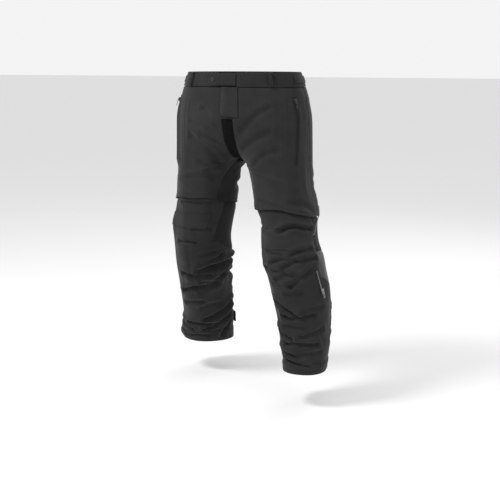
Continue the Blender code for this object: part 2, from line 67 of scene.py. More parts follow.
RIGHT_LEG = np.array((
    (0.122, 0.010, -0.325, 10, 0, 13, 0.124, 0.130, 0.126, 0.114),
    (0.142, 0.019, -0.394, 18, 0, 5, 0.113, 0.113, 0.110, 0.100),
    (0.160, 0.027, -0.472, 28, 0, 2, 0.103, 0.101, 0.094, 0.092),
    (0.177, 0.032, -0.551, 36, 3, 0, 0.102, 0.097, 0.096, 0.088),
    (0.189, 0.046, -0.620, 39, -3, 0, 0.107, 0.095, 0.095, 0.088),
    (0.199, 0.082, -0.704, 39, -12, 0, 0.095, 0.097, 0.096, 0.092),
    (0.207, 0.113, -0.798, 39, -14, 0, 0.088, 0.095, 0.086, 0.086),
    (0.215, 0.145, -0.892, 39, -10, 0, 0.084, 0.088, 0.082, 0.080),
    (0.219, 0.160, -0.970, 39, 0, 0, 0.084, 0.084, 0.076, 0.076),
))
PELVIS_POWER = 2 / 2.25
LEG_POWER = 2 / 2.3
CROTCH_REACH = 0.22
CROTCH_DROP = 0.65

# --- where the panels meet ---
TOP_V = 0.348
FLY_V = (0.35, 1.05)
GUSSET_EDGE = {1: (0.024, 0.034), -1: (0.016, 0.034)}
STRIP_EDGE = 0.055
GUSSET_BACK_V = 1.35
GUSSET_END_V = 2.12
OUTSEAM = 0.50
SIDE_PANEL_S = (0.455, 0.63)
SIDE_PANEL_V = (6.30, 6.95)
SIDE_SEAM = 0.56
HEM_V = 9.47
SHANK_TOP = (4.06, 6.09)
SHANK_TOP_V = 5.3
# The seam above the knee, as places (s, v) round each leg.
KNEE_SEAM = {
    1: ((0.0, 3.68), (0.145, 3.63), (0.25, 3.50), (0.37, 3.70), (0.475, 3.84), (0.75, 3.80), (1.0, 3.68)),
    -1: ((0.0, 3.55), (0.06, 3.38), (0.12, 3.27), (0.19, 3.35), (0.27, 3.24), (0.38, 3.42),
         (0.50, 3.66), (0.75, 3.78), (1.0, 3.55)),
}
PATCH_S = (0.055, 0.405)
PATCH_V = {1: (4.36, 5.20), -1: (4.04, 4.70)}
HIP_ZIP_S, HIP_ZIP_V, HIP_ZIP_HALF = 0.37, (0.55, 1.55), 0.012
CALF_ZIP_S, CALF_ZIP_V, CALF_ZIP_HALF = 0.425, (6.10, 6.98), 0.0145
CUFF_TAB_S, CUFF_TAB_V = (0.66, 0.835), (8.95, 9.38)
FLAP_S, FLAP_TOP_V, FLAP_LOW, FLAP_ARCH = (-0.020, 0.047), 0.345, 0.0036, 0.0056

# --- cloth sizes ---
# About how wide a face is: on the panels, behind, under the crotch and on the lining.
STEP, BACK_STEP, GUSSET_STEP, LINER_STEP = 0.0055, 0.0075, 0.0090, 0.014
SHELL, LINER = 0.0016, 0.0008
LINER_DEPTH = 0.0100
# A seam's dip and its reach, its puckers, and its groove under the stitches.
SEAM_DIP, SEAM_REACH = 0.0016, 0.0042
PUCKER, PUCKER_REACH, PUCKER_PITCH, PUCKER_DRIFT = 0.0006, 0.011, 0.013, 0.041
GROOVE, GROOVE_AT, GROOVE_HALF = 0.0005, 0.0075, 0.0022

# --- small helpers ---


def smooth(t):
    t = np.clip(t, 0.0, 1.0)
    return t * t * (3 - 2 * t)


def lerp(a, b, t):
    return a + (b - a) * t


def hump(t):
    """1 at 0, falling smoothly to both sides."""
    return np.exp(-(t**2))


def signed_power(value, power):
    return np.sign(value) * np.abs(value) ** power


def unit(vectors):
    return vectors / np.maximum(np.linalg.norm(vectors, axis=-1, keepdims=True), 1e-9)


def lifted(points, normals, height):
    return points + normals * np.asarray(height)[..., None]


def run_length(points):
    """Metres from the first of a line of points to each of them."""
    steps = np.linalg.norm(np.diff(points, axis=0), axis=-1)
    return np.concatenate([[0.0], np.cumsum(steps)])


def linked(name, data):
    """A new object for a mesh, a light or a camera."""
    made = bpy.data.objects.new(name, data)
    bpy.context.scene.collection.objects.link(made)
    return made


def cubic_weights(t):
    """The four weights of a Catmull-Rom curve at t between its middle points."""
    square, cube = t * t, t * t * t
    return (
        0.5 * (2 * square - cube - t),
        0.5 * (3 * cube - 5 * square + 2),
        0.5 * (4 * square - 3 * cube + t),
        0.5 * (cube - square),
    )


def table_rows(table, t):
    """A smooth curve through a table's rows, read at row numbers t."""
    t = np.clip(t, 0, len(table) - 1)
    i = np.minimum(t.astype(int), len(table) - 2)
    ends = np.vstack([2 * table[0] - table[1], table, 2 * table[-1] - table[-2]])
    weights = cubic_weights((t - i)[..., None])
    return sum(weight * ends[i + k] for k, weight in enumerate(weights))


# --- the plain surface ---


def pelvis_points(v, s):
    z = RISE_TOP * v
    width, front, back = (np.interp(-z, -PELVIS[:, 0], PELVIS[:, k]) for k in (1, 2, 3))
    along, across = np.cos(pi * s), np.sin(pi * s)
    y = -signed_power(along, PELVIS_POWER) * np.where(along > 0, front, back)
    return np.stack([width * signed_power(across, PELVIS_POWER), y, z], -1)


def leg_points(table, k, s):
    row = table_rows(table, k)
    turn, front_up, out_down = (np.radians(row[..., a]) for a in (3, 4, 5))
    level = np.cos(front_up)
    forward = np.stack([np.sin(turn) * level, -np.cos(turn) * level, np.sin(front_up)], -1)
    level = np.cos(out_down)
    outward = np.stack([np.cos(turn) * level, np.sin(turn) * level, -np.sin(out_down)], -1)
    along, across = np.sin(2 * pi * s), -np.cos(2 * pi * s)
    reach_f = signed_power(along, LEG_POWER) * np.where(along > 0, row[..., 6], row[..., 7])
    reach_o = signed_power(across, LEG_POWER) * np.where(across > 0, row[..., 8], row[..., 9])
    return row[..., :3] + forward * reach_f[..., None] + outward * reach_o[..., None]


def body_points(side, v, s):
    """Points of the surface before any folds."""
    v, s = np.broadcast_arrays(np.asarray(v, float), np.asarray(s, float))
    table = LEFT_LEG if side > 0 else RIGHT_LEG
    zero = np.zeros_like(v)
    near = smooth(1 - np.minimum(s, 1 - s) / CROTCH_REACH)[..., None]
    pull = (CROTCH - leg_points(table, zero, zero)) * near
    hips = pelvis_points(np.minimum(v, 1), s)
    turn = np.clip(v - 1, 0, 1) * pi / 2
    low = leg_points(table, zero, s) + pull
    rise = lerp(hips, low, (1 - np.cos(turn))[..., None])
    rise[..., 2] = lerp(hips[..., 2], low[..., 2], np.sin(turn))
    leg = leg_points(table, np.maximum(v - 2, 0), s) + pull * smooth(1 - (v - 2) / CROTCH_DROP)[..., None]
    return np.where((v < 2)[..., None], rise, leg) * np.array((side, 1, 1))


# --- folds ---
# The cloth laid flat is GIRTH round, RISE_LENGTH from v 1 to 2, and ROW for each v below.
GIRTH = 0.58
RISE_LENGTH = 0.20
ROW = 0.082
# Folds fade out over these lengths towards the middle seam and towards a held place.
MIDDLE_FADE, HELD_FADE = 0.035, 0.026
# A fold is its depth and half width in millimetres, then a line of places (v, s) on one leg.
# All of them are scaled by FOLD_DEPTH and FOLD_WIDTH.
FOLD_DEPTH, FOLD_WIDTH = 1.35, 0.85
LEFT_FOLDS = (
    # Knee
    (9.5, 10, (4.44, 0.25), (4.28, 0.28), (4.20, 0.32), (4.28, 0.37), (4.30, 0.43)),
    (3.4, 10, (4.30, 0.08), (4.44, 0.14), (4.36, 0.19)),
    (6.2, 10, (5.45, 0.28), (5.28, 0.31), (5.18, 0.35), (5.12, 0.41)),
    (3.9, 9, (5.28, 0.13), (5.40, 0.19), (5.48, 0.24)),
    (5.0, 10, (5.82, 0.15), (5.65, 0.22), (5.62, 0.30)),
    (6.7, 10, (6.00, 0.23), (5.84, 0.26), (5.66, 0.31), (5.58, 0.43)),
    (5.6, 11, (6.06, 0.06), (6.14, 0.18), (6.18, 0.24)),
    (5.6, 10, (6.44, 0.17), (6.28, 0.24), (6.24, 0.30)),
    (7.3, 11, (6.62, 0.25), (6.44, 0.29), (6.26, 0.33), (5.98, 0.41)),
    (3.9, 10, (6.46, 0.08), (6.60, 0.17), (6.66, 0.25)),
    (3.9, 10, (6.92, 0.22), (6.84, 0.30)),
    # Shank
    (9.5, 10, (7.22, 0.13), (7.44, 0.19), (7.62, 0.25)),
    (8.8, 9, (7.68, 0.17), (7.76, 0.23), (7.66, 0.29), (7.60, 0.35)),
    (4.7, 10, (7.50, 0.29), (7.38, 0.35), (7.34, 0.41)),
    (3.4, 10, (8.08, 0.17), (8.02, 0.24), (8.08, 0.30)),
    (6.8, 10, (8.40, 0.26), (8.28, 0.31), (8.14, 0.40)),
    (9.5, 10, (8.16, 0.10), (8.36, 0.14), (8.48, 0.21)),
    (8.8, 9, (8.66, 0.16), (8.62, 0.25), (8.66, 0.36)),
    (8.1, 10, (8.90, 0.09), (9.06, 0.13), (9.12, 0.21)),
    (4.7, 10, (9.10, 0.23), (8.98, 0.30), (8.94, 0.38)),
    (6.8, 10, (9.34, 0.15), (9.46, 0.22), (9.58, 0.30)),
    # Thigh
    (2.9, 12, (1.22, 0.06), (1.07, 0.10), (0.94, 0.14), (0.80, 0.20)),
    (3.6, 12, (1.48, 0.07), (1.36, 0.11), (1.26, 0.15), (1.18, 0.20)),
    (3.3, 13, (1.76, 0.16), (1.58, 0.17), (1.48, 0.20), (1.40, 0.25)),
    (2.6, 16, (3.20, 0.34), (3.24, 0.41), (3.56, 0.46)),
    (2.0, 12, (3.22, 0.18), (3.36, 0.25)),
    # Behind
    (5.5, 16, (1.75, 0.60), (1.95, 0.80), (1.80, 0.94)),
    (5.5, 16, (2.35, 0.62), (2.25, 0.78), (2.42, 0.92)),
    (4.0, 15, (2.95, 0.58), (3.05, 0.76), (2.90, 0.92)),
    (5.5, 13, (6.60, 0.64), (6.45, 0.78), (6.60, 0.95)),
    (5.0, 12, (7.10, 0.60), (7.24, 0.76), (7.16, 0.98)),
    (6.0, 12, (7.70, 0.56), (7.66, 0.72), (7.84, 0.92)),
    (5.0, 12, (8.25, 0.54), (8.34, 0.74), (8.20, 0.94)),
    (4.0, 12, (8.72, 0.52), (8.66, 0.62), (8.80, 0.74)),
)
RIGHT_FOLDS = (
    # Knee
    (4.5, 9, (3.50, 0.26), (3.56, 0.17), (3.50, 0.08)),
    (3.9, 9, (4.76, 0.13), (4.70, 0.08), (4.64, 0.03)),
    (5.6, 10, (5.40, 0.22), (5.34, 0.15), (5.38, 0.09)),
    (3.4, 10, (6.06, 0.05), (5.88, 0.01), (5.84, -0.02)),
    (5.0, 10, (6.38, 0.06), (6.26, 0.01), (6.18, -0.03), (6.02, -0.06)),
    (11.2, 14, (6.66, 0.08), (6.56, 0.02), (6.55, -0.05), (6.54, -0.12), (6.40, -0.20)),
    # Shank
    (8.1, 9, (6.70, 0.21), (6.78, 0.14), (6.84, 0.08), (6.88, 0.02)),
    (6.8, 9, (7.08, 0.08), (7.12, 0.02), (7.10, -0.02), (7.00, -0.06)),
    (11.5, 10, (7.40, 0.23), (7.27, 0.15), (7.28, 0.08), (7.26, -0.01)),
    (4.7, 9, (7.50, 0.10), (7.40, 0.04), (7.38, -0.01)),
    (6.1, 9, (7.92, 0.23), (7.86, 0.15), (7.90, 0.08)),
    (4.7, 10, (8.16, 0.10), (8.10, 0.04), (8.18, -0.02)),
    (9.5, 11, (8.72, 0.09), (8.66, 0.03), (8.56, -0.02), (8.45, -0.07), (8.30, -0.13)),
    (7.4, 9, (8.84, 0.22), (8.86, 0.14), (8.94, 0.07), (8.96, 0.02)),
    (8.1, 10, (9.22, 0.10), (9.14, 0.03), (8.96, -0.03), (8.84, -0.08), (8.66, -0.13)),
    (6.8, 10, (8.74, 0.33), (9.00, 0.26), (9.20, 0.19)),
    (5.4, 10, (9.70, 0.24), (9.60, 0.15), (9.64, 0.06)),
    (8.1, 12, (9.70, -0.02), (9.40, -0.06), (9.10, -0.10)),
    # Thigh
    (2.9, 11, (0.86, 0.11), (0.98, 0.07), (1.08, 0.05), (1.24, 0.01)),
    (2.3, 11, (1.08, 0.19), (1.15, 0.12), (1.20, 0.07), (1.30, 0.02)),
    (3.6, 10, (1.27, 0.13), (1.35, 0.08), (1.46, 0.03)),
    (3.9, 12, (1.26, 0.20), (1.38, 0.14), (1.53, 0.11), (1.70, 0.10), (2.04, 0.12)),
    (2.9, 13, (1.70, 0.18), (2.18, 0.16), (2.60, 0.11)),
    (1.6, 14, (2.30, 0.30), (2.36, 0.20), (2.44, 0.10)),
    # Behind
    (5.5, 16, (1.75, 0.60), (1.95, 0.80), (1.80, 0.94)),
    (5.5, 16, (2.30, 0.60), (2.42, 0.76), (2.28, 0.92)),
    (4.0, 15, (2.90, 0.60), (2.82, 0.76), (2.95, 0.92)),
    (5.0, 13, (6.30, 0.66), (6.50, 0.72), (6.42, 0.82)),
    (6.0, 12, (7.10, 0.60), (7.22, 0.76), (7.10, 0.90)),
    (5.0, 12, (7.60, 0.52), (7.72, 0.66), (7.66, 0.84)),
    (5.0, 12, (8.10, 0.50), (8.24, 0.62), (8.14, 0.80)),
    (4.0, 12, (8.62, 0.46), (8.70, 0.56), (8.62, 0.64)),
)
# Where the cloth stands proud or is drawn in: v and s, then millimetres out and radius.
LEFT_BULGES = (
    (4.70, 0.25, 6, 60), (3.42, 0.53, 9, 45), (3.62, 0.05, 6, 30),
    (4.08, 0.05, -15, 36), (5.60, 0.04, 10, 55), (5.60, 0.54, 12, 60),
    (6.50, 0.50, 11, 75), (7.60, 0.50, 4, 60), (2.35, 0.08, -12, 65),
)
RIGHT_BULGES = (
    (4.50, 0.33, 10, 55), (6.00, 0.33, -10, 55), (5.90, 0.83, 11, 50),
    (9.70, 0.36, 27, 75), (2.35, 0.90, -22, 75), (2.35, 0.04, -10, 60),
)


def flat_place(v, s):
    """The cloth laid flat: metres across and metres down."""
    down = -RISE_TOP * np.minimum(v, 1) + RISE_LENGTH * np.clip(v - 1, 0, 1) + ROW * np.maximum(v - 2, 0)
    return s * GIRTH, down


def fold_profile(signed):
    """A valley with a lip that hangs over it and a low swell below it."""
    return 0.50 * hump(signed + 1.4) + 0.30 * hump(signed - 1.6) - hump(signed / 0.75)


def fold_distance(line, x, y):
    """Distance to a line of places, negative above it."""
    best = np.full(x.shape, 1e9)
    signed = np.full(x.shape, 1e9)
    for (v0, s0), (v1, s1) in zip(line, line[1:]):
        ax, ay = flat_place(v0, s0)
        bx, by = flat_place(v1, s1)
        dx, dy = bx - ax, by - ay
        t = np.clip(((x - ax) * dx + (y - ay) * dy) / (dx * dx + dy * dy), 0, 1)
        away_x, away_y = x - ax - dx * t, y - ay - dy * t
        away = np.hypot(away_x, away_y)
        nearer = away < best
        best = np.where(nearer, away, best)
        signed = np.where(nearer, np.where(away_y < 0, -away, away), signed)
    return signed


def fold_height(side, v, s):
    """How far the folds raise or sink the cloth at each place."""
    folds, bulges = (LEFT_FOLDS, LEFT_BULGES) if side > 0 else (RIGHT_FOLDS, RIGHT_BULGES)
    height = np.zeros_like(v)
    for turn in (-1, 0, 1):
        x, y = flat_place(v, s + turn)
        for depth, half, *line in folds:
            away = fold_distance(line, x, y) / (FOLD_WIDTH * half / 1000)
            height += FOLD_DEPTH * depth / 1000 * fold_profile(away)
        for bulge_v, bulge_s, rise, radius in bulges:
            bulge_x, bulge_y = flat_place(bulge_v, bulge_s)
            height += rise / 1000 * hump(np.hypot(x - bulge_x, y - bulge_y) / (radius / 1000))
    return height


def box_distance(v, s, s_range, v_range):
    """Metres from a rectangle of places, 0 inside it."""
    x, y = flat_place(v, s)
    x0, y0 = flat_place(v_range[0], s_range[0])
    x1, y1 = flat_place(v_range[1], s_range[1])
    return np.hypot(np.clip(x0 - x, 0, None) + np.clip(x - x1, 0, None),
                    np.clip(y0 - y, 0, None) + np.clip(y - y1, 0, None))


def freedom(v, s):
    """1 where the cloth folds freely, 0 where a zip, tab, flap or band holds it flat."""
    held = (
        ((HIP_ZIP_S - HIP_ZIP_HALF, HIP_ZIP_S + HIP_ZIP_HALF), HIP_ZIP_V),
        ((CALF_ZIP_S - CALF_ZIP_HALF, CALF_ZIP_S + CALF_ZIP_HALF), CALF_ZIP_V),
        (CUFF_TAB_S, CUFF_TAB_V),
        ((-0.05, FLAP_S[1]), (0.0, FLY_V[1])),
    )
    free = smooth((v - 0.42) / 0.35) * lerp(1.0, smooth((10.0 - v) / 0.35), 0.4)
    from_middle = smooth(np.minimum(s % 1.0, -s % 1.0) * GIRTH / MIDDLE_FADE)
    free = free * lerp(from_middle, 1.0, smooth((v - 2.0) / 0.3))
    for s_range, v_range in held:
        free = free * smooth(box_distance(v, s, s_range, v_range) / HELD_FADE)
    return free


# --- the settled surface ---
GRID_V = np.concatenate([np.linspace(0.28, 1, 18)[:-1], np.linspace(1, 2, 36)[:-1], np.linspace(2, 10, 112)])
COLUMNS = 96
GRID_S = np.linspace(0, 1, COLUMNS + 1)
SIM_FRAMES = 22
SETTLE_LIMIT = 0.008
# At places v down the leg: how much longer the cloth is cut, and how firmly it is held.
EXTRA_LENGTH = ((0.3, 1.2, 3.2, 4.2, 10.0), (0.0, 0.003, 0.016, 0.032, 0.085))
GRIP = ((0.40, 0.8, 2.0, 9.3, 9.8), (1.0, 0.10, 0.06, 0.05, 0.5))
HIP_ROUNDING = 14
BORDER = 8


def grid_normals(points, side):
    down = np.gradient(points, axis=0)
    across = np.gradient(points, axis=1)
    return unit(np.cross(down, across) * side)


def weld(grids):
    """One closed surface from both halves, joined down the middle and at the inseams."""
    rows, columns = len(GRID_V), len(GRID_S)
    number, kept = {}, []
    index = np.empty((2, rows, columns), int)
    for half, i, j in np.ndindex(2, rows, columns):
        edge = j in (0, columns - 1)
        if edge and GRID_V[i] == 2:
            key = (0, i, 0)
        elif edge and GRID_V[i] < 2:
            key = (0, i, j)
        else:
            key = (half, i, j % (columns - 1) if GRID_V[i] >= 2 else j)
        if key not in number:
            number[key] = len(kept)
            kept.append((half, i, j))
        index[half, i, j] = number[key]
    faces = []
    for half, i, j in np.ndindex(2, rows - 1, columns - 1):
        ring = (index[half, i, j], index[half, i + 1, j], index[half, i + 1, j + 1], index[half, i, j + 1])
        ring = list(dict.fromkeys(int(k) for k in ring))
        faces.append(ring if half == 0 else ring[::-1])
    half, i, j = np.array(kept).T
    return np.stack(grids)[half, i, j], faces, index, GRID_V[i]


def cloth_settings(modifier, rest, pins):
    settings = modifier.settings
    settings.quality = 5
    settings.mass = 0.2
    settings.air_damping = 2.0
    settings.tension_stiffness = settings.compression_stiffness = 30
    settings.shear_stiffness = 12
    settings.bending_stiffness = 0.35
    settings.vertex_group_mass = pins.name
    settings.pin_stiffness = 1.0
    settings.rest_shape_key = rest
    modifier.collision_settings.use_collision = False
    modifier.point_cache.frame_start = 1
    modifier.point_cache.frame_end = SIM_FRAMES


def settle(grids):
    """Lets the cloth, cut longer than the leg, buckle and sag into folds of its own."""
    points, faces, index, v = weld(grids)
    mesh = bpy.data.meshes.new("settling_cloth")
    mesh.from_pydata(points.tolist(), [], faces)
    cloth = linked("settling_cloth", mesh)
    cloth.shape_key_add(name="worn")
    rest = cloth.shape_key_add(name="cut")
    cut = points.copy()
    cut[:, 2] -= np.interp(v, *EXTRA_LENGTH)
    rest.data.foreach_set("co", cut.astype(np.float32).ravel())
    rest.value = 0.0
    pins = cloth.vertex_groups.new(name="pins")
    for n, weight in enumerate(np.interp(v, *GRIP)):
        pins.add([n], float(weight), "REPLACE")
    modifier = cloth.modifiers.new("settle", "CLOTH")
    cloth_settings(modifier, rest, pins)
    for moment in range(1, SIM_FRAMES + 1):
        bpy.context.scene.frame_set(moment)
    settled = np.empty(len(points) * 3, np.float32)
    evaluated = cloth.evaluated_get(bpy.context.evaluated_depsgraph_get())
    evaluated.data.vertices.foreach_get("co", settled)
    bpy.data.objects.remove(cloth, do_unlink=True)
    bpy.context.scene.frame_set(1)
    moved = settled.reshape(-1, 3) - points
    length = np.linalg.norm(moved, axis=1, keepdims=True)
    kept = (points + moved * SETTLE_LIMIT / (SETTLE_LIMIT + length))[index]
    return [kept[0], kept[1]]


def round_hips(grid):
    """Rounds the corner that the plain surface has where the hips are widest."""
    rounded = grid.copy()
    for _ in range(HIP_ROUNDING):
        rounded[1:-1] = 0.25 * rounded[:-2] + 0.5 * rounded[1:-1] + 0.25 * rounded[2:]
    near = smooth((0.45 - np.abs(GRID_V - 1)) / 0.2)[:, None]
    aside = smooth(np.minimum(GRID_S, 1 - GRID_S) / 0.15)
    return grid + (rounded - grid) * (near * aside)[..., None]


def with_borders(own, other):
    """Adds the columns beyond a half's two edges, so that it can be read smoothly there."""
    upper = (GRID_V < 2)[:, None, None]
    before = np.where(upper, other[:, BORDER:0:-1], own[:, -1 - BORDER : -1])
    after = np.where(upper, other[:, -2 : -2 - BORDER : -1], own[:, 1 : 1 + BORDER])
    wide = np.concatenate([before, own, after], 1)
    first, last = 2 * wide[:1] - wide[1:2], 2 * wide[-1:] - wide[-2:-1]
    return np.concatenate([first, wide, last])


def make_skin():
    """The settled surface of both halves, each as a grid of points and normals."""
    v, s = np.meshgrid(GRID_V, GRID_S, indexing="ij")
    free = freedom(v, s)[..., None]
    plain = [round_hips(body_points(side, v, s)) for _, side in SIDES]
    settled = settle(plain)
    settled = [base + (moved - base) * free for base, moved in zip(plain, settled)]
    made = {}
    for (_, side), own, other in zip(SIDES, settled, settled[::-1]):
        grid = with_borders(own, other)
        made[side] = np.concatenate([grid, grid_normals(grid, side)], -1)
    return made


def read_skin(side, v, s):
    """Points of the settled surface with its sewn folds, and its normals without them."""
    grid = skin[side]
    row = np.interp(v, GRID_V, np.arange(len(GRID_V))) + 1
    column = s * COLUMNS + BORDER
    i = np.clip(row.astype(int), 1, grid.shape[0] - 3)
    j = np.clip(np.floor(column).astype(int), 1, grid.shape[1] - 3)
    down = cubic_weights((row - i)[..., None])
    across = cubic_weights((column - j)[..., None])
    value = 0
    for a in range(4):
        for b in range(4):
            value = value + down[a] * across[b] * grid[i + a - 1, j + b - 1]
    normals = unit(value[..., 3:])
    height = fold_height(side, v, s) * freedom(v, s)
    return lifted(value[..., :3], normals, height), normals


def skin_place(side, v, s):
    """One point of the settled surface and the way it faces."""
    return (value[0] for value in read_skin(side, np.array([v]), np.array([s])))


# --- mesh makers ---


def add_piece(name, verts, faces, look, smooth_angle=62):
    mesh = bpy.data.meshes.new(name)
    mesh.from_pydata(verts, [], faces)
    mesh.materials.append(looks[look])
    mesh.shade_smooth()
    mesh.set_sharp_from_angle(angle=radians(smooth_angle))
    piece = linked(name, mesh)
    return piece


def grid_faces(rows, columns, flip, closed=False):
    """Quads of a grid of points, as an array of corner numbers."""
    i, j = np.meshgrid(np.arange(rows - 1), np.arange(columns if closed else columns - 1), indexing="ij")
    k = (j + 1) % columns
    quads = np.stack([i * columns + j, (i + 1) * columns + j, (i + 1) * columns + k, i * columns + k], -1)
    quads = quads.reshape(-1, 4)
    return quads[:, ::-1] if flip else quads


def rim_faces(loop, count, flip):
    """Quads that join an outer loop of points to the same loop of the inner face."""
    loop = np.asarray(loop)
    after = np.roll(loop, -1)
    quads = np.stack([loop, after, after + count, loop + count], -1)
    return quads[:, ::-1] if flip else quads


def shell_piece(name, outer, inner, look, flip=False, closed=False):
    """A piece of cloth from the points of its outer and inner faces."""
    rows, columns = outer.shape[:2]
    count = rows * columns
    numbers = np.arange(count).reshape(rows, columns)
    faces = [grid_faces(rows, columns, flip, closed), grid_faces(rows, columns, not flip, closed) + count]
    if closed:
        faces += [rim_faces(numbers[0], count, not flip), rim_faces(numbers[-1], count, flip)]
    else:
        edge = np.concatenate([numbers[0, :-1], numbers[:-1, -1], numbers[-1, :0:-1], numbers[:0:-1, 0]])
        faces.append(rim_faces(edge, count, not flip))
    verts = np.concatenate([outer.reshape(-1, 3), inner.reshape(-1, 3)])
    return add_piece(name, verts.tolist(), np.concatenate(faces).tolist(), look)


def fixed(value):
    return value if callable(value) else lambda t: value + 0 * t


def patch_places(s_range, v_range, size):
    """Places of a patch whose four edges may each be a function of the other parameter."""
    columns, rows = size
    s_from, s_to, v_from, v_to = (fixed(edge) for edge in (*s_range, *v_range))
    i = np.linspace(0, 1, rows + 1)[:, None]
    j = np.linspace(0, 1, columns + 1)[None, :]
    s = np.full((rows + 1, columns + 1), 0.25)
    for _ in range(6):
        v = lerp(v_from(s), v_to(s), i)
        s = lerp(s_from(v), s_to(v), j)
    return v, s


def patch_size(side, s_range, v_range, step):
    """Columns and rows that make a patch's faces about a step wide."""
    v, s = patch_places(s_range, v_range, (12, 12))
    points = body_points(side, np.clip(v, 0, 10), s % 1.0)
    across = np.linalg.norm(np.diff(points, axis=1), axis=-1).sum(1).max()
    down = np.linalg.norm(np.diff(points, axis=0), axis=-1).sum(0).max()
    return max(2, int(round(across / step))), max(2, int(round(down / step)))


def edge_distances(points):
    """Metres from each point to the patch's first and last column, then first and last row."""
    distances = []
    for axis in (1, 0):
        steps = np.linalg.norm(np.diff(points, axis=axis), axis=-1)
        start = np.zeros_like(np.take(steps, [0], axis))
        run = np.concatenate([start, np.cumsum(steps, axis)], axis)
        distances += [run, np.take(run, [-1], axis) - run]
    return distances


def sewn_height(points, sewn):
    """How a panel dips and puckers towards its sewn edges.

    sewn names the edges: l and r the first and last column, t and b the top and bottom.
    """
    left, right, top, low = edge_distances(points)
    height = np.zeros(points.shape[:2])
    for edge, away, along in (("l", left, top), ("r", right, top), ("t", top, left), ("b", low, left)):
        if edge in sewn:
            ripple = np.sin(2 * pi * along / PUCKER_PITCH + 2.0 * np.sin(along / PUCKER_DRIFT))
            height -= SEAM_DIP * hump(away / SEAM_REACH)
            height += PUCKER * ripple * hump(away / PUCKER_REACH)
            height -= GROOVE * hump((away - GROOVE_AT) / GROOVE_HALF)
    return height


def tuck_height(points):
    """How a panel's top edge goes in under the lip above it."""
    return -TUCK * hump(edge_distances(points)[2] / TUCK_REACH)


def lip_height(points, s):
    """How a panel's loose bottom edge stands over the panel below it."""
    away = edge_distances(points)[3]
    return lip_round(s) * hump(away / LIP_REACH) - LIP_GROOVE * hump((away - 0.009) / 0.0025)


def cloth_panel(name, side, s_range, v_range, look, out=0.0, thick=SHELL, sewn="lrtb", step=STEP):
    """A sewn panel cut from the settled surface.

    Among its sewn edges, L is a bottom edge that laps over the panel below, and T a top
    edge that goes in under such a lap.
    """
    v, s = patch_places(s_range, v_range, patch_size(side, s_range, v_range, step))
    points, normals = read_skin(side, v, s)
    height = out + sewn_height(points, sewn)
    if "L" in sewn:
        height += lip_height(points, s)
    if "T" in sewn:
        height += tuck_height(points)
    outer = lifted(points, normals, height)
    return shell_piece(name, outer, outer - normals * thick, look, side < 0)


def cross(piece):
    """Bakes a cloth piece's transform into its mesh."""
    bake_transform(piece)


def blocks_piece(name, boxes, look):
    """One piece of small blocks. Each is a centre, three axes and three half sizes."""
    corners = np.array([(x, y, z) for x in (-1, 1) for y in (-1, 1) for z in (-1, 1)], float)
    quads = np.array(((0, 1, 3, 2), (4, 6, 7, 5), (0, 4, 5, 1), (2, 3, 7, 6), (0, 2, 6, 4), (1, 5, 7, 3)))
    centres, axes, halves = (np.array(part, float) for part in zip(*boxes))
    scaled = corners[None] * halves[:, None]
    verts = centres[:, None] + np.einsum("nkc,ncd->nkd", scaled, axes)
    faces = quads[None] + 8 * np.arange(len(boxes))[:, None, None]
    return add_piece(name, verts.reshape(-1, 3).tolist(), faces.reshape(-1, 4).tolist(), look, 30)


# --- stitches ---
STITCH, STITCH_GAP, THREAD, ROW_END = 0.0034, 0.0020, 0.00045, 0.002


def stitches_along(points, normals):
    """A block for each stitch of a row along a line of points."""
    run = run_length(points)
    boxes = []
    for start in np.arange(ROW_END, run[-1] - STITCH, STITCH + STITCH_GAP):
        a, b, n = (
            np.array([np.interp(at, run, source[:, k]) for k in range(3)])
            for at, source in ((start, points), (start + STITCH, points), (start, normals))
        )
        along = unit(b - a)
        side = unit(np.cross(along, n))
        boxes.append(((a + b) / 2, (along, side, np.cross(side, along)), (STITCH / 2, THREAD, THREAD)))
    return boxes


def stitched_line(side, v, s, out):
    points, normals = read_skin(side, v, s)
    return stitches_along(lifted(points, normals, out + 0 * s), normals)


# --- panels ---
# The lip over the knee, and the tuck of the panels that go in under it.
LIP, LIP_REACH, LIP_GROOVE = 0.0050, 0.018, 0.0012
TUCK, TUCK_REACH = 0.0060, 0.014
# In v: how far those panels go in, and how far off the knee's seam the two linings end.
TUCKED, LINER_ENDS = 0.09, (0.05, 0.02)


def knee_seam(side):
    """How far down the seam above the knee is, round a leg."""
    places, heights = np.array(KNEE_SEAM[side]).T

    def seam(s):
        around = np.linspace(-0.025, 0.025, 7)
        return sum(np.interp((s + shift) % 1.0, places, heights) for shift in around) / 7

    return seam


def round_knee(ends):
    """An edge round the leg that is at ends[0] in front and at ends[1] behind."""
    return lambda s: lerp(ends[0], ends[1], 0.5 - 0.5 * np.sin(2 * pi * s))


def front_edge(side):
    """Where the front panel's inner edge is: along the gusset, then along the inner strip."""
    top, low = GUSSET_EDGE[side]

    def edge(v):
        along_gusset = lerp(top, low, smooth((v - FLY_V[1]) / (GUSSET_END_V - FLY_V[1])))
        return along_gusset + (STRIP_EDGE - low) * smooth((v - GUSSET_END_V) / 0.5)

    return edge


def back_edge(side):
    """Where the seat panel's inner edge is."""
    low = GUSSET_EDGE[side][1]

    def edge(v):
        along_gusset = low * smooth((v - GUSSET_BACK_V) / (GUSSET_END_V - GUSSET_BACK_V))
        return 1 - along_gusset - (STRIP_EDGE - low) * smooth((v - GUSSET_END_V) / 0.5)

    return edge


def side_panel_edge(top_s):
    """An edge of the grey side panel. It runs down to the seam where the two edges meet."""

    def edge(v):
        share = smooth((v - SIDE_PANEL_V[0]) / (SIDE_PANEL_V[1] - SIDE_PANEL_V[0]))
        return lerp(top_s, SIDE_SEAM, share)

    return edge


def lip_round(s):
    """The lip over the knee stands out most in front."""
    return LIP * (0.55 + 0.45 * np.sin(2 * pi * s))


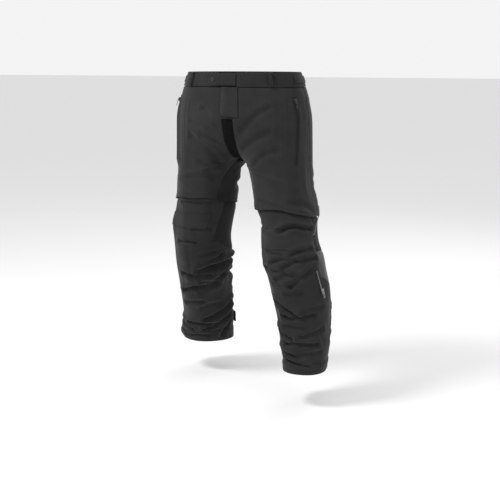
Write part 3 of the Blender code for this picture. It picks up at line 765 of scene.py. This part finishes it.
def lining(name, side, v_range):
    """The mesh lining, a little inside the shell and cut from a coarser grid."""
    return cloth_panel(name, side, (0.0, 1.0), v_range, "lining_mesh", -LINER_DEPTH, LINER, "", LINER_STEP)


def make_upper_panels(word, side):
    """The panels from the waist to the seam above the knee."""
    seam, front, back = knee_seam(side), front_edge(side), back_edge(side)
    whole, middle, strip = (TOP_V, seam), (FLY_V[1], GUSSET_END_V), (GUSSET_END_V, seam)
    behind = (GUSSET_BACK_V, GUSSET_END_V)
    # The gusset's look is black stretch cloth with the shade under the crotch painted into its colour.
    shell, gusset, inner = "shell_fabric", "stretch_fabric", "inner_fabric"
    panels = (
        ("front_leg", (front, OUTSEAM), whole, shell, "lrtL", STEP, ("front_panel", "thigh_front")),
        ("seat_leg", (OUTSEAM, back), whole, shell, "lrtL", BACK_STEP, ("seat_panel", "thigh_back")),
        ("gusset_front", (0.0, front), middle, gusset, "rt", STEP, ()),
        ("gusset_back", (back, 1.0), behind, gusset, "lt", GUSSET_STEP, ()),
        ("inner_front", (0.0, front), strip, inner, "rtL", STEP, ("inner_thigh_strip",)),
        ("inner_back", (back, 1.0), strip, inner, "ltL", STEP, ("inner_thigh_strip",)),
    )
    for name, s_range, v_range, look, sewn, step, nodes in panels:
        piece = cloth_panel(f"{name}_{word}", side, s_range, v_range, look, sewn=sewn, step=step)
        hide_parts(*[f"{node}_{word}" for node in nodes] or ["crotch_gusset"])
        cross(piece)
    liner = lining(f"upper_liner_{word}", side, (TOP_V, lambda s: seam(s) - LINER_ENDS[0]))
    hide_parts(f"hip_lining_{word}", f"thigh_lining_{word}")
    cross(liner)


def make_lower_panels(word, side):
    """The panels from the seam above the knee to the hem."""
    seam = knee_seam(side)
    front, back = (side_panel_edge(top_s) for top_s in SIDE_PANEL_S)
    low = SIDE_PANEL_V[1] - 0.02

    def under_lip(s):
        return seam(s) - TUCKED

    def top(s):
        return np.maximum(round_knee(SHANK_TOP)(s), SHANK_TOP_V)

    shell, inner = "shell_fabric", "inner_fabric"
    panels = (
        ("knee_and_shin", (0.0, front), (under_lip, HEM_V), shell, 0.0, SHELL, "lrbT", "shin_panel"),
        ("calf", (back, 1.0), (top, HEM_V), shell, 0.0, SHELL, "lrtb", "calf_panel"),
        ("side_strip", (front, back), (top, low), "side_fabric", 0.0, SHELL, "lrtb", "side_panel"),
        ("knee_ribs", (front, 1.0), (under_lip, top), inner, -0.0008, SHELL, "lrbT", "knee_bellows"),
        ("knee_cover", PATCH_S, PATCH_V[side], "patch_fabric", 0.0016, 0.0014, "", "knee_patch"),
        ("hem", (0.0, 1.0), (HEM_V, 10.0), shell, 0.0008, 0.0030, "t", "cuff_hem"),
    )
    for name, s_range, v_range, look, out, thick, sewn, node in panels:
        piece = cloth_panel(f"{name}_{word}", side, s_range, v_range, look, out, thick, sewn)
        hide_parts(f"{node}_{word}")
        cross(piece)
    liner = lining(f"lower_liner_{word}", side, (lambda s: seam(s) + LINER_ENDS[1], 9.9))
    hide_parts(f"shank_lining_{word}")
    cross(liner)


# --- trims ---
# The waistband's height, then angles round the waist: its elastic, its tab, snap and straps.
BAND_HEIGHT = 0.046
BAND_BACK = 2.45
TAB_ROOT, TAB_TIP, SNAP_ANGLE = 0.120, -0.30, -0.21
STRAP_ROOT, STRAP_TIP = 1.30, 1.95
WAIST_RADIUS = 0.16
# How far off the surface the band, the tabs on it and a slider's base are, and a gap.
BAND_OUT, TRIM_OUT, TAPE_OUT, CLEAR = 0.0010, 0.0046, 0.0024, 0.0008
FLY_EDGE = 0.030
BAND_THICK, ELASTIC_THICK, STRAP_THICK, TAB_THICK = 0.0035, 0.0030, 0.0020, 0.0018
WAIST_STEP, GATHER_PITCH = 0.0032, 0.0085
# Width, height and thickness of a zip's slider and of its pull.
SLIDER = (0.0095, 0.0140, 0.0036)
PULL = (0.0060, 0.0240, 0.0012)
PULL_PIN_DROP, PLATE = 0.0006, 0.0012
# A zip tooth's half sizes, how far it sits to one side, its middle's height and its pitch.
TOOTH, TOOTH_ASIDE, TOOTH_RISE, TOOTH_PITCH = (0.0014, 0.00055, 0.0006), 0.0006, 0.0005, 0.0026
FLY_SLIDER_V = 0.47
# Kind, place round the leg, heights, the slider's height, half width, looks of teeth and slider.
ZIPS = (
    ("hip", HIP_ZIP_S, HIP_ZIP_V, 0.67, HIP_ZIP_HALF, "zip_tape", "zip_metal"),
    ("calf", CALF_ZIP_S, CALF_ZIP_V, 6.84, CALF_ZIP_HALF, "bright_trim", "bright_trim"),
)
PAD_S, PAD_V, PAD_DEPTH, PAD, SCORE_HALF = (0.11, 0.39), (4.45, 6.25), 0.0145, 0.0070, 0.0022
PIPING_HALF = 0.0016
PIPING = ((3.43, 0.550), (3.72, 0.533), (4.01, 0.515), (4.30, 0.485), (4.58, 0.450))


def mount(piece, body, *nodes):
    """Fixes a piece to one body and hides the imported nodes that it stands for."""
    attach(piece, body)
    if nodes:
        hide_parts(*nodes)


def corner_cut(away, half, radius):
    """How far a rounded end is cut back, at a distance from its middle line."""
    into = np.clip((np.abs(away) - half + radius) / radius, 0, 1)
    return radius * (1 - np.sqrt(1 - into**2))


def hemmed_relief(edge):
    """A band's face near its edge: rolled over at the edge, with a stitched groove inside it."""
    return -0.0007 * hump(edge / 0.0012) - 0.0005 * hump((edge - 0.0038) / 0.0011)


def hemmed_piece(name, side, v, s, height, look):
    """A flap or tab that stands off the surface, with its edge rolled over and stitched."""
    points, normals = read_skin(side, v, s)
    edge = np.min(edge_distances(points), axis=0)
    outer = lifted(points, normals, height + hemmed_relief(edge))
    return shell_piece(name, outer, outer - normals * TAB_THICK, look, side < 0)


def waist_points(angle, z, out):
    """Points of the waist and the way they face. The angle is 0 in front, positive towards +X."""
    angle, z, out = np.broadcast_arrays(angle, z, out)
    s = np.abs((angle + pi) % (2 * pi) - pi) / pi
    points = pelvis_points(z / RISE_TOP, s)
    points[..., 0] *= np.where(np.sin(angle) >= 0, 1, -1)
    level = unit(points * (1 / PELVIS[0, 1] ** 2, 1 / PELVIS[0, 2] ** 2, 0))
    return points + level * out[..., None], level


def waist_piece(name, root, tip, drop, out, thick, look, radius=0.0, gather=0.0):
    """A length of band that follows the waist, from its root to a tip with rounded corners."""
    half = BAND_HEIGHT / 2 - drop
    columns = int(abs(tip - root) * WAIST_RADIUS / WAIST_STEP)
    z = np.linspace(-drop, drop - BAND_HEIGHT, 15)[:, None]
    share = np.linspace(0, 1, columns + 1)[None, :]
    away = z + BAND_HEIGHT / 2
    cut = corner_cut(away, half, radius) / WAIST_RADIUS if radius else 0 * z
    angle = lerp(root, tip - np.sign(tip - root) * cut, share)
    edge = np.minimum(half - np.abs(away), np.minimum(share, 1 - share) * columns * WAIST_STEP)
    inward = smooth((half - np.abs(away)) / 0.008)
    ripple = gather * np.cos(2 * pi * angle * WAIST_RADIUS / GATHER_PITCH) * inward
    outer, level = waist_points(angle, z, out + hemmed_relief(edge) + ripple)
    return shell_piece(name, outer, outer - level * thick, look, tip < root)


def waist_stitches(name, root, tip, z):
    angle = np.linspace(root, tip, 120)
    points, level = waist_points(angle, z, BAND_OUT - 0.0002)
    return blocks_piece(name, stitches_along(points, level), "thread")


def make_waist():
    """The waistband with its elastic back, the closing tab and the take-up straps."""
    web, ease, edge = "band_fabric", 0.006, 0.0040
    for word, side, root in (("left", 1, TAB_ROOT + ease), ("right", -1, TAB_ROOT)):
        band = waist_piece(f"band_{word}", side * root, side * BAND_BACK, 0.0, BAND_OUT, BAND_THICK, web)
        mount(band, "hips", f"waistband_{word}")
    behind = (BAND_BACK + ease, 2 * pi - BAND_BACK - ease)
    look = "inner_fabric"
    elastic = waist_piece("band_elastic", *behind, 0.0, BAND_OUT, ELASTIC_THICK, look, gather=0.0009)
    mount(elastic, "hips", "waistband_back")
    angle = np.linspace(-0.02, 2 * pi + 0.02, 141)[None, :]
    under = 0.0040 + 0.0014 * smooth((angle - 2 * pi + 0.06) / 0.05)
    inside, level = waist_points(angle, np.linspace(-0.0006, -0.058, 8)[:, None], -under)
    mount(shell_piece("waist_facing", inside, inside - level * LINER, "lining_mesh"), "hips")
    tab = waist_piece("closing_tab", TAB_ROOT, TAB_TIP, 0.004, TRIM_OUT, STRAP_THICK, web, 0.012)
    mount(tab, "waist_tab", "waist_tab")
    for word, side in SIDES:
        ends = side * STRAP_ROOT, side * STRAP_TIP
        strap = waist_piece(f"take_up_{word}", *ends, 0.012, TRIM_OUT, STRAP_THICK, web, 0.008)
        mount(strap, f"take_up_strap_{word}", f"take_up_strap_{word}")
        for row, z in (("top", -edge), ("low", edge - BAND_HEIGHT)):
            name = f"band_stitches_{row}_{word}"
            mount(waist_stitches(name, side * 0.14, side * (BAND_BACK - 0.02), z), "hips")


def curve_rows(path, radius, steps=6):
    """A path of points in a plane with its inner corners rounded."""
    made = [path[0]]
    for before, corner, after in zip(path, path[1:], path[2:]):
        start = corner + unit(before - corner) * radius
        end = corner + unit(after - corner) * radius
        for t in np.linspace(0, 1, steps + 1):
            made.append(lerp(lerp(start, corner, t), lerp(corner, end, t), t))
    return np.array(made + [path[-1]])


def belt_loop(name, angle):
    """A webbing loop that stands over the waistband."""
    half, height, wall, width = 0.02075, 0.00855, 0.0015, 0.0120
    base, facing = (value.reshape(3) for value in waist_points(angle, -BAND_HEIGHT / 2, BAND_OUT + CLEAR))
    top, low = (waist_points(angle, z, 0.0)[0].reshape(3) for z in (-0.010, -0.036))
    up = unit(top - low)
    out = unit(facing - up * (facing @ up))
    corners = np.array(((half, 0), (half, height), (0, height + 0.0002), (-half, height), (-half, 0)), float)
    path = curve_rows(corners, 0.0045)
    ahead = unit(np.gradient(path, axis=0))
    normal = np.stack([ahead[:, 1], -ahead[:, 0]], -1)
    across = np.linspace(-width / 2, width / 2, 9)
    rib = 0.00012 * np.cos(pi * np.arange(9))
    faces = []
    for height_out in (wall / 2 + rib, 0 * rib - wall / 2):
        rows = path[:, None] + normal[:, None] * height_out[None, :, None]
        faces.append(base + rows @ np.array((up, out)) + across[None, :, None] * np.cross(up, out))
    return shell_piece(name, *faces, "band_fabric", True)


def flap_height(s):
    """The fly flap arches over the zip's slider and comes down to its edges."""
    return FLAP_LOW + FLAP_ARCH * hump(s / 0.0125)


def make_flap():
    """The flap over the fly, with a rounded lower corner and a row of topstitching."""
    low = FLY_V[1] - 0.03

    def free_edge(v):
        return FLAP_S[0] + corner_cut(np.clip(v - low + 0.3, 0, 0.3), 0.3, 0.12) * 0.18

    v, s = patch_places((free_edge, FLAP_S[1]), (FLAP_TOP_V, low), (13, 30))
    mount(hemmed_piece("flap", 1, v, s, flap_height(s), "shell_fabric"), "fly_flap", "fly_flap")
    v = np.linspace(FLAP_TOP_V + 0.04, low - 0.05, 60)
    s = free_edge(v) + 0.0075
    boxes = stitched_line(1, v, s, flap_height(s) - 0.0002)
    mount(blocks_piece("flap_stitches", boxes, "thread"), "fly_flap")


def teeth(name, side, s, v_range, out, look):
    """Two rows of zip teeth that mesh along a line down the surface."""
    v = np.linspace(*v_range, 400)
    points, normals = read_skin(side, v, s + 0 * v)
    run = run_length(points)
    boxes = []
    for k, at in enumerate(np.arange(ROW_END, run[-1] - ROW_END, TOOTH_PITCH / 2)):
        i = int(np.searchsorted(run, at))
        down = unit(points[i] - points[i - 1])
        across = unit(np.cross(down, normals[i]))
        aside = TOOTH_ASIDE if k % 2 else -TOOTH_ASIDE
        centre = points[i] + normals[i] * (out + TOOTH_RISE) + across * aside
        boxes.append((centre, (across, down, normals[i]), TOOTH))
    return blocks_piece(name, boxes, look)


def outline_parts(frame, outline, depths, inset=0.0004):
    """The points and faces of a plate cut to a convex outline, with chamfered edges."""
    low, high = depths
    centre = outline.mean(0)
    small = outline + unit(centre - outline) * inset
    levels = ((small, low), (outline, low + inset), (outline, high - inset), (small, high))
    flat = np.concatenate([np.column_stack([ring, np.full(len(ring), z)]) for ring, z in levels])
    verts = flat @ frame[:3, :3].T + frame[:3, 3]
    count = len(outline)
    k = np.arange(count)
    faces = [list(k[::-1]), list(k + 3 * count)]
    for level in range(3):
        a, b = level * count + k, level * count + (k + 1) % count
        faces += np.stack([a, b, b + count, a + count], -1).tolist()
    return verts, faces


def joined_piece(name, parts, look):
    verts, faces, count = [], [], 0
    for part_verts, part_faces in parts:
        verts += part_verts.tolist()
        faces += [[int(corner) + count for corner in face] for face in part_faces]
        count += len(part_verts)
    return add_piece(name, verts, faces, look, 30)


def rounded_outline(width, height, radius, middle=(0.0, 0.0), steps=4):
    """A rectangle with round corners."""
    points = []
    for corner in range(4):
        cx = (width / 2 - radius) * (1 if corner in (0, 3) else -1)
        cy = (height / 2 - radius) * (1 if corner in (0, 1) else -1)
        turns = pi / 2 * (corner + np.arange(steps + 1) / steps)
        points.append(np.column_stack([cx + radius * np.cos(turns), cy + radius * np.sin(turns)]))
    return np.concatenate(points) + middle


def flat_frame(point, facing):
    """A frame whose Z faces outwards and whose Y is as near straight up as it can be."""
    out = unit(facing)
    up = unit(np.array((0.0, 0.0, 1.0)) - out * out[2])
    frame = np.eye(4)
    frame[:3, :3] = np.column_stack([np.cross(up, out), up, out])
    frame[:3, 3] = point
    return frame


def slider_piece(name, point, facing, look):
    """A zip's slider: two plates on a core, with two ears that hold the pull."""
    frame = flat_frame(point, facing)
    width, height, thick = SLIDER
    base, top = CLEAR, CLEAR + thick
    shield = rounded_outline(width, height, 0.0026)
    shield[:, 0] *= np.interp(shield[:, 1], (-height / 2, 0.0), (0.68, 1.0))
    core = rounded_outline(0.0036, 0.0096, 0.0012, (0.0, 0.0012))
    parts = [
        outline_parts(frame, shield, (base - 0.0008, base + PLATE)),
        outline_parts(frame, core, (base + 0.0010, top - 0.0010), 0.0001),
        outline_parts(frame, shield, (top - PLATE, top)),
    ]
    for x in (-0.0019, 0.0019):
        ear = rounded_outline(0.0010, 0.0040, 0.0004, (x, 0.0))
        parts.append(outline_parts(frame, ear, (top - 0.0002, top + 0.0020), 0.0002))
    return joined_piece(name, parts, look)


def pull_piece(name, point, facing, look):
    """The pull that hangs from a slider: an eye, a neck and a grip framed round a hole."""
    pin = point + unit(facing) * (SLIDER[2] + 2 * CLEAR + PULL[2] / 2)
    frame = flat_frame(pin, np.array((facing[0], facing[1], max(facing[2], 0.0))))
    thick, length = PULL[2] / 2, PULL[1] - PULL_PIN_DROP
    depths = (-thick, thick)
    blocks = [
        rounded_outline(0.0026, 0.0060, 0.0009, (0.0, PULL_PIN_DROP - 0.0030)),
        rounded_outline(PULL[0], 0.0040, 0.0013, (0.0, -0.0065)),
        rounded_outline(PULL[0], 0.0050, 0.0016, (0.0, 0.0025 - length)),
    ]
    for x in (-0.0022, 0.0022):
        blocks.append(rounded_outline(0.0014, length - 0.0095, 0.0005, (x, -0.0040 - length / 2 + 0.0010)))
    parts = [outline_parts(frame, block, depths, 0.0003) for block in blocks]
    return joined_piece(name, parts, look)


def make_zip(word, side, kind, s, v_range, slider_v, half, teeth_look, look):
    """A zip on the outside of a leg, with its tape, teeth, slider and pull."""
    base, body = f"{kind}_zip_{word}", "hips" if kind == "hip" else f"shank_{word}"
    across = (s - half, s + half)
    tape = cloth_panel(f"{base}_cloth", side, across, v_range, "zip_tape", 0.0008, 0.0026, "", 0.0035)
    row = teeth(f"{base}_teeth", side, s, v_range, 0.0007, teeth_look)
    for piece in (tape, row):
        if kind == "hip":
            cross(piece)
        else:
            mount(piece, body)
        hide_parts(f"{base}_tape")
    place, facing = skin_place(side, slider_v, s)
    point = place + facing * TAPE_OUT
    mount(slider_piece(f"{base}_runner", point, facing, look), f"{kind}_zip_slider_{word}", f"{base}_slider")
    mount(pull_piece(f"{base}_tag", point, facing, look), f"{kind}_zip_pull_{word}", f"{base}_pull")


def make_fly():
    """The centre zip and the flap over it."""
    for word, side in SIDES:
        across = (0.0010, FLY_EDGE)
        tape = cloth_panel(f"fly_cloth_{word}", side, across, FLY_V, "zip_tape", -0.0014, 0.0010, "", 0.0035)
        mount(tape, "hips", f"fly_tape_{word}")
    mount(teeth("fly_teeth", 1, 0.0, FLY_V, -0.0008, "zip_metal"), "hips")
    point, facing = skin_place(1, FLY_SLIDER_V, 0.0)
    mount(slider_piece("fly_runner", point, facing, "zip_metal"), "fly_slider", "fly_slider")
    mount(pull_piece("fly_tag", point, facing, "zip_metal"), "fly_slider", "fly_pull")
    make_flap()


def make_snap():
    """The snap's domed cap on the closing tab."""
    places = waist_points(SNAP_ANGLE, -BAND_HEIGHT / 2, TRIM_OUT + 3 * CLEAR - 0.0010)
    frame = flat_frame(*(value.reshape(3) for value in places))
    turns = np.linspace(0, 2 * pi, 28, endpoint=False)
    circle = np.column_stack([np.cos(turns), np.sin(turns)])
    rings = ((0.0075, 0.0, 0.0008), (0.0062, 0.0007, 0.0014), (0.0044, 0.0012, 0.0020))
    parts = [outline_parts(frame, circle * radius, (low, high), 0.0003) for radius, low, high in rings]
    mount(joined_piece("snap_top", parts, "zip_metal"), "waist_tab", "snap_cap")


def make_cuff_tab(word, side):
    """The hook-and-loop tab at the cuff, raised and free at its rounded end."""

    def corner(s):
        return 5.5 * corner_cut(s, CUFF_TAB_S[1], 0.020)

    edges = (lambda s: CUFF_TAB_V[0] + corner(s), lambda s: CUFF_TAB_V[1] - corner(s))
    v, s = patch_places(CUFF_TAB_S, edges, (26, 12))
    height = lerp(0.0040, 0.0100, smooth((s - 0.79) / 0.045))
    piece = hemmed_piece(f"cuff_strap_{word}", side, v, s, height, "band_fabric")
    mount(piece, f"cuff_tab_{word}", f"cuff_tab_{word}")


def make_knee_pad(word, side):
    """The moulded foam pad inside the knee, thin at its rim and scored across."""
    v, s = patch_places(PAD_S, PAD_V, (32, 30))
    points, normals = read_skin(side, v, s)
    edge = np.min(edge_distances(body_points(side, v, s)), axis=0)
    rim = hump(edge / 0.006)
    across = np.abs((v - PAD_V[0]) / (PAD_V[1] - PAD_V[0]) * 5 % 1 - 0.5) * 0.030
    along = np.abs((s - 0.25) * GIRTH) - 0.030
    score = np.minimum(hump(across / SCORE_HALF) + hump(along / SCORE_HALF), 1)
    outer = lifted(points, normals, -PAD_DEPTH - 0.0016 * rim - 0.0012 * score)
    inner = lifted(points, normals, -PAD_DEPTH - PAD + 0.0030 * rim)
    pad = shell_piece(f"knee_armour_{word}", outer, inner, "armour_foam", side < 0)
    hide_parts(f"knee_pad_{word}")
    cross(pad)


# --- seams ---
NEEDLE_GAP = 0.0075
# How far the topstitching stands off the surface: on the shell, the hem and the knee patch.
ON_SHELL, ON_HEM, ON_PATCH = 0.0001, 0.0011, 0.0018


def seam_piece(name, side, lines):
    """Rows of stitches in one piece. Each row is its places v and s and its height."""
    boxes = []
    for v, s, out in lines:
        boxes += stitched_line(side, v, s, out)
    cross(blocks_piece(name, boxes, "thread"))


def around(edge_v, s_from, s_to):
    s = np.linspace(s_from, s_to, 160)
    return edge_v(s), s


def down(edge_s, v_from, v_to):
    v = np.linspace(v_from, v_to, 200)
    return v, fixed(edge_s)(v)


def make_seams(word, side):
    """The topstitching of one leg."""
    seam, aside = knee_seam(side), NEEDLE_GAP / GIRTH
    knee_v, knee_s = around(lambda s: seam(s) - 0.105, 0.06, 0.94)
    lip = lip_round(knee_s) * 0.78 - 0.0007
    outseam = [(*down(OUTSEAM + sign * aside, TOP_V + 0.12, 3.5), ON_SHELL) for sign in (-1, 1)]
    seam_piece(f"leg_stitches_{word}", side, [(knee_v, knee_s, lip)] + outseam)
    front, back = (side_panel_edge(top_s) for top_s in SIDE_PANEL_S)
    lines = [
        (*down(lambda v: front(v) - aside, 5.4, SIDE_PANEL_V[1]), ON_SHELL),
        (*down(lambda v: back(v) + aside, 5.9, SIDE_PANEL_V[1]), ON_SHELL),
        (*down(SIDE_SEAM - aside, SIDE_PANEL_V[1], HEM_V - 0.1), ON_SHELL),
        (*around(lambda s: HEM_V + 0.10 + 0 * s, 0.02, 0.98), ON_HEM),
        (*around(lambda s: 9.90 + 0 * s, 0.02, 0.98), ON_HEM),
    ]
    inset_v, inset_s = 0.045, 0.007
    top, low = PATCH_V[side][0] + inset_v, PATCH_V[side][1] - inset_v
    left, right = PATCH_S[0] + inset_s, PATCH_S[1] - inset_s
    lines += [(*around(lambda s, v=v: v + 0 * s, left, right), ON_PATCH) for v in (top, low)]
    lines += [(*down(s, top, low), ON_PATCH) for s in (left, right)]
    if side < 0:
        lines.append((*down(shin_seam, 4.95, HEM_V - 0.1), ON_SHELL))
    seam_piece(f"shank_stitches_{word}", side, lines)


def shin_seam(v):
    """The lengthwise seam beside the right shin."""
    return np.interp(v, (4.90, 7.46, 9.94), (0.075, 0.095, 0.133)) + 0.009


def make_piping(word, side):
    """The pale piping beside the knee, a narrow rounded strip."""
    knots_v, knots_s = np.array(PIPING).T
    v = np.linspace(knots_v[0], knots_v[-1], 70)
    s = np.polynomial.Polynomial.fit(knots_v, knots_s, 2)(v)
    offsets = np.linspace(-1, 1, 5)
    v_grid = v[:, None] + 0 * offsets[None, :]
    s_grid = s[:, None] + offsets[None, :] * PIPING_HALF / GIRTH
    points, normals = read_skin(side, v_grid, s_grid)
    rise = 0.0016 + 0.0011 * np.sqrt(1 - offsets[None, :] ** 2) + lip_under(side, v_grid, s_grid)
    outer = lifted(points, normals, rise)
    piece = shell_piece(f"piping_{word}", outer, outer - normals * 0.0022, "piping", side < 0)
    cross(piece)


def lip_under(side, v, s):
    """How far the lip above the knee lifts a strip that crosses it."""
    away = (knee_seam(side)(s) - v) * ROW
    reach = np.where(away < 0, 0.004, LIP_REACH)
    return lip_round(s) * hump(away / reach)


# --- materials ---
LOOKS = {
    # name: colour, darker colour, roughness, specular, sheen, weave scale, bump
    "shell_fabric": ((0.0200, 0.0200, 0.0210), (0.0150, 0.0150, 0.0158), 0.80, 0.12, 0.10, 900, 0.25),
    "inner_fabric": ((0.0160, 0.0160, 0.0168), (0.0110, 0.0110, 0.0116), 0.85, 0.10, 0.08, 1100, 0.20),
    "patch_fabric": ((0.0190, 0.0190, 0.0200), (0.0140, 0.0140, 0.0150), 0.72, 0.14, 0.10, 620, 0.45),
    # The gusset's stretch cloth is black, and its colour is darker still as painted shade under the crotch.
    "stretch_fabric": ((0.0055, 0.0055, 0.0058), (0.0040, 0.0040, 0.0042), 0.95, 0.05, 0.02, 1400, 0.15),
    "side_fabric": ((0.0500, 0.0500, 0.0525), (0.0370, 0.0370, 0.0390), 0.50, 0.22, 0.10, 500, 0.20),
    "band_fabric": ((0.0160, 0.0160, 0.0170), (0.0110, 0.0110, 0.0116), 0.78, 0.14, 0.10, 700, 0.50),
    "lining_mesh": ((0.0120, 0.0120, 0.0130), (0.0080, 0.0080, 0.0085), 0.70, 0.15, 0.05, 500, 0.60),
    "zip_tape": ((0.0090, 0.0090, 0.0100), (0.0060, 0.0060, 0.0065), 0.60, 0.20, 0.05, 800, 0.40),
    "armour_foam": ((0.0400, 0.0450, 0.0500), (0.0300, 0.0340, 0.0380), 0.65, 0.40, 0.00, 300, 0.30),
    "thread": ((0.0300, 0.0300, 0.0320), (0.0220, 0.0220, 0.0230), 0.55, 0.25, 0.05, 2000, 0.20),
    "bright_trim": ((0.2600, 0.2600, 0.2650), (0.1700, 0.1700, 0.1750), 0.35, 0.50, 0.00, 900, 0.10),
    "piping": ((0.1800, 0.1800, 0.1850), (0.1300, 0.1300, 0.1350), 0.40, 0.40, 0.05, 600, 0.15),
}
looks = {}


def set_inputs(node, **values):
    for key, value in values.items():
        node.inputs[key.replace("_", " ")].default_value = value
    return node


def new_material(name, **values):
    """A material, its nodes and its shader, with these values on the shader's own sockets."""
    made = bpy.data.materials.new(name)
    made.use_nodes = True
    return made, made.node_tree, set_inputs(made.node_tree.nodes["Principled BSDF"], **values)


def add_mix(tree, dark, light):
    tone = tree.nodes.new("ShaderNodeMix")
    tone.data_type = "RGBA"
    tone.inputs[6].default_value = (*dark, 1)
    tone.inputs[7].default_value = (*light, 1)
    return tone


def join_nodes(tree, joins):
    for source, output, target, entry in joins:
        tree.links.new(source.outputs[output], target.inputs[entry])


def fabric(name, colour, dark, roughness, specular, sheen, weave, bump):
    """Woven cloth: mottled colour, crossed threads and fine grain."""
    made, tree, shader = new_material(name, Roughness=roughness, Specular_IOR_Level=specular)
    set_inputs(shader, Sheen_Weight=sheen, Sheen_Roughness=0.45)
    new = tree.nodes.new
    place = new("ShaderNodeTexCoord")
    cloud = set_inputs(new("ShaderNodeTexNoise"), Scale=14.0, Detail=6.0, Roughness=0.65)
    spread = set_inputs(new("ShaderNodeMapRange"), From_Min=0.35, From_Max=0.62)
    tone = add_mix(tree, dark, colour)
    threads = set_inputs(new("ShaderNodeTexVoronoi"), Scale=float(weave), Randomness=0.35)
    slub = set_inputs(new("ShaderNodeTexNoise"), Scale=weave / 5.0, Detail=3.0)
    both = new("ShaderNodeMath")
    relief = set_inputs(new("ShaderNodeBump"), Strength=bump, Distance=0.0006)
    join_nodes(tree, (
        (place, "Object", cloud, "Vector"),
        (place, "Object", threads, "Vector"),
        (place, "Object", slub, "Vector"),
        (cloud, "Fac", spread, "Value"),
        (spread, "Result", tone, "Factor"),
        (tone, 2, shader, "Base Color"),
        (threads, "Distance", both, 0),
        (slub, "Fac", both, 1),
        (both, "Value", relief, "Height"),
        (relief, "Normal", shader, "Normal"),
    ))
    looks[name] = made


def metal():
    """Dark satin zip metal with rubbed patches."""
    made, tree, shader = new_material("zip_metal", Metallic=0.9)
    rub = set_inputs(tree.nodes.new("ShaderNodeTexNoise"), Scale=220.0, Detail=5.0)
    tone = add_mix(tree, (0.030, 0.030, 0.032), (0.085, 0.085, 0.090))
    rough = set_inputs(tree.nodes.new("ShaderNodeMapRange"), To_Min=0.25, To_Max=0.5)
    join_nodes(tree, (
        (rub, "Fac", tone, "Factor"),
        (rub, "Fac", rough, "Value"),
        (tone, 2, shader, "Base Color"),
        (rough, "Result", shader, "Roughness"),
    ))
    looks["zip_metal"] = made


# --- studio ---
CAMERA_AZIMUTH, CAMERA_PITCH = 26.0, 10.9
CAMERA_DISTANCE, CAMERA_HEIGHT, CAMERA_ASIDE = 3.3075, 0.037, 0.020
LENS = 70.9
FLOOR_Z, FLOOR_REACH = -1.09, 60.0


def add_camera():
    turn, pitch = radians(CAMERA_AZIMUTH), radians(CAMERA_PITCH)
    level = Vector((-sin(turn), cos(turn), 0.0))
    right = Vector((cos(turn), sin(turn), 0.0))
    look = level * cos(pitch) - Vector((0.0, 0.0, sin(pitch)))
    up = right.cross(look)
    data = bpy.data.cameras.new("camera")
    data.lens = LENS
    data.sensor_width = 36.0
    camera = linked("camera", data)
    place = right * CAMERA_ASIDE - level * CAMERA_DISTANCE + Vector((0.0, 0.0, CAMERA_HEIGHT))
    turned = Matrix((right, up, -look)).transposed().to_4x4()
    camera.matrix_world = Matrix.Translation(place) @ turned
    bpy.context.scene.camera = camera


def add_area_light(name, place, size, power):
    data = bpy.data.lights.new(name, "AREA")
    data.size = size
    data.energy = power
    way = Vector((0.0, 0.0, -0.5)) - Vector(place)
    turned = way.to_track_quat("-Z", "Y").to_matrix().to_4x4()
    linked(name, data).matrix_world = Matrix.Translation(place) @ turned


def add_studio():
    world = bpy.data.worlds.new("studio")
    world.use_nodes = True
    set_inputs(world.node_tree.nodes["Background"], Color=(1.0, 1.0, 1.0, 1.0), Strength=0.90)
    bpy.context.scene.world = world
    bpy.context.scene.view_settings.view_transform = "Standard"
    add_area_light("key", (-1.2, -1.5, 1.9), 0.8, 66)
    add_area_light("fill", (2.8, -1.6, 0.4), 2.0, 16)
    add_area_light("back", (0.6, 2.6, 1.4), 2.0, 20)
    mesh = bpy.data.meshes.new("floor")
    corners = [(x * FLOOR_REACH, y * FLOOR_REACH, FLOOR_Z) for x, y in ((-1, -1), (1, -1), (1, 1), (-1, 1))]
    mesh.from_pydata(corners, [], [(0, 1, 2, 3)])
    paint, *_ = new_material("floor_paint", Base_Color=(0.80, 0.80, 0.80, 1), Roughness=0.9)
    mesh.materials.append(paint)
    linked("floor", mesh)


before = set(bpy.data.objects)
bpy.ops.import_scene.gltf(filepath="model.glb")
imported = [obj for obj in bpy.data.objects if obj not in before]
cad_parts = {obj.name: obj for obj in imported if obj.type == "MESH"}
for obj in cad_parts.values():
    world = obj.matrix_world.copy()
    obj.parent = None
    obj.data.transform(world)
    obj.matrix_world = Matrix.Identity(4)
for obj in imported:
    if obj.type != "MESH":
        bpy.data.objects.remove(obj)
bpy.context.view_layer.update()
add_camera()
add_studio()
for look_name, look_values in LOOKS.items():
    fabric(look_name, *look_values)
metal()
skin = make_skin()
for side_word, side_sign in SIDES:
    make_upper_panels(side_word, side_sign)
    make_lower_panels(side_word, side_sign)
    for zip_place in ZIPS:
        make_zip(side_word, side_sign, *zip_place)
    make_cuff_tab(side_word, side_sign)
    make_knee_pad(side_word, side_sign)
    make_seams(side_word, side_sign)
    make_piping(side_word, side_sign)
make_waist()
make_fly()
make_snap()
for loop_word, loop_angle in (("front_left", 0.72), ("front_right", -0.72), ("back", pi)):
    mount(belt_loop(f"loop_{loop_word}", loop_angle), "hips", f"belt_loop_{loop_word}")
bpy.context.view_layer.update()
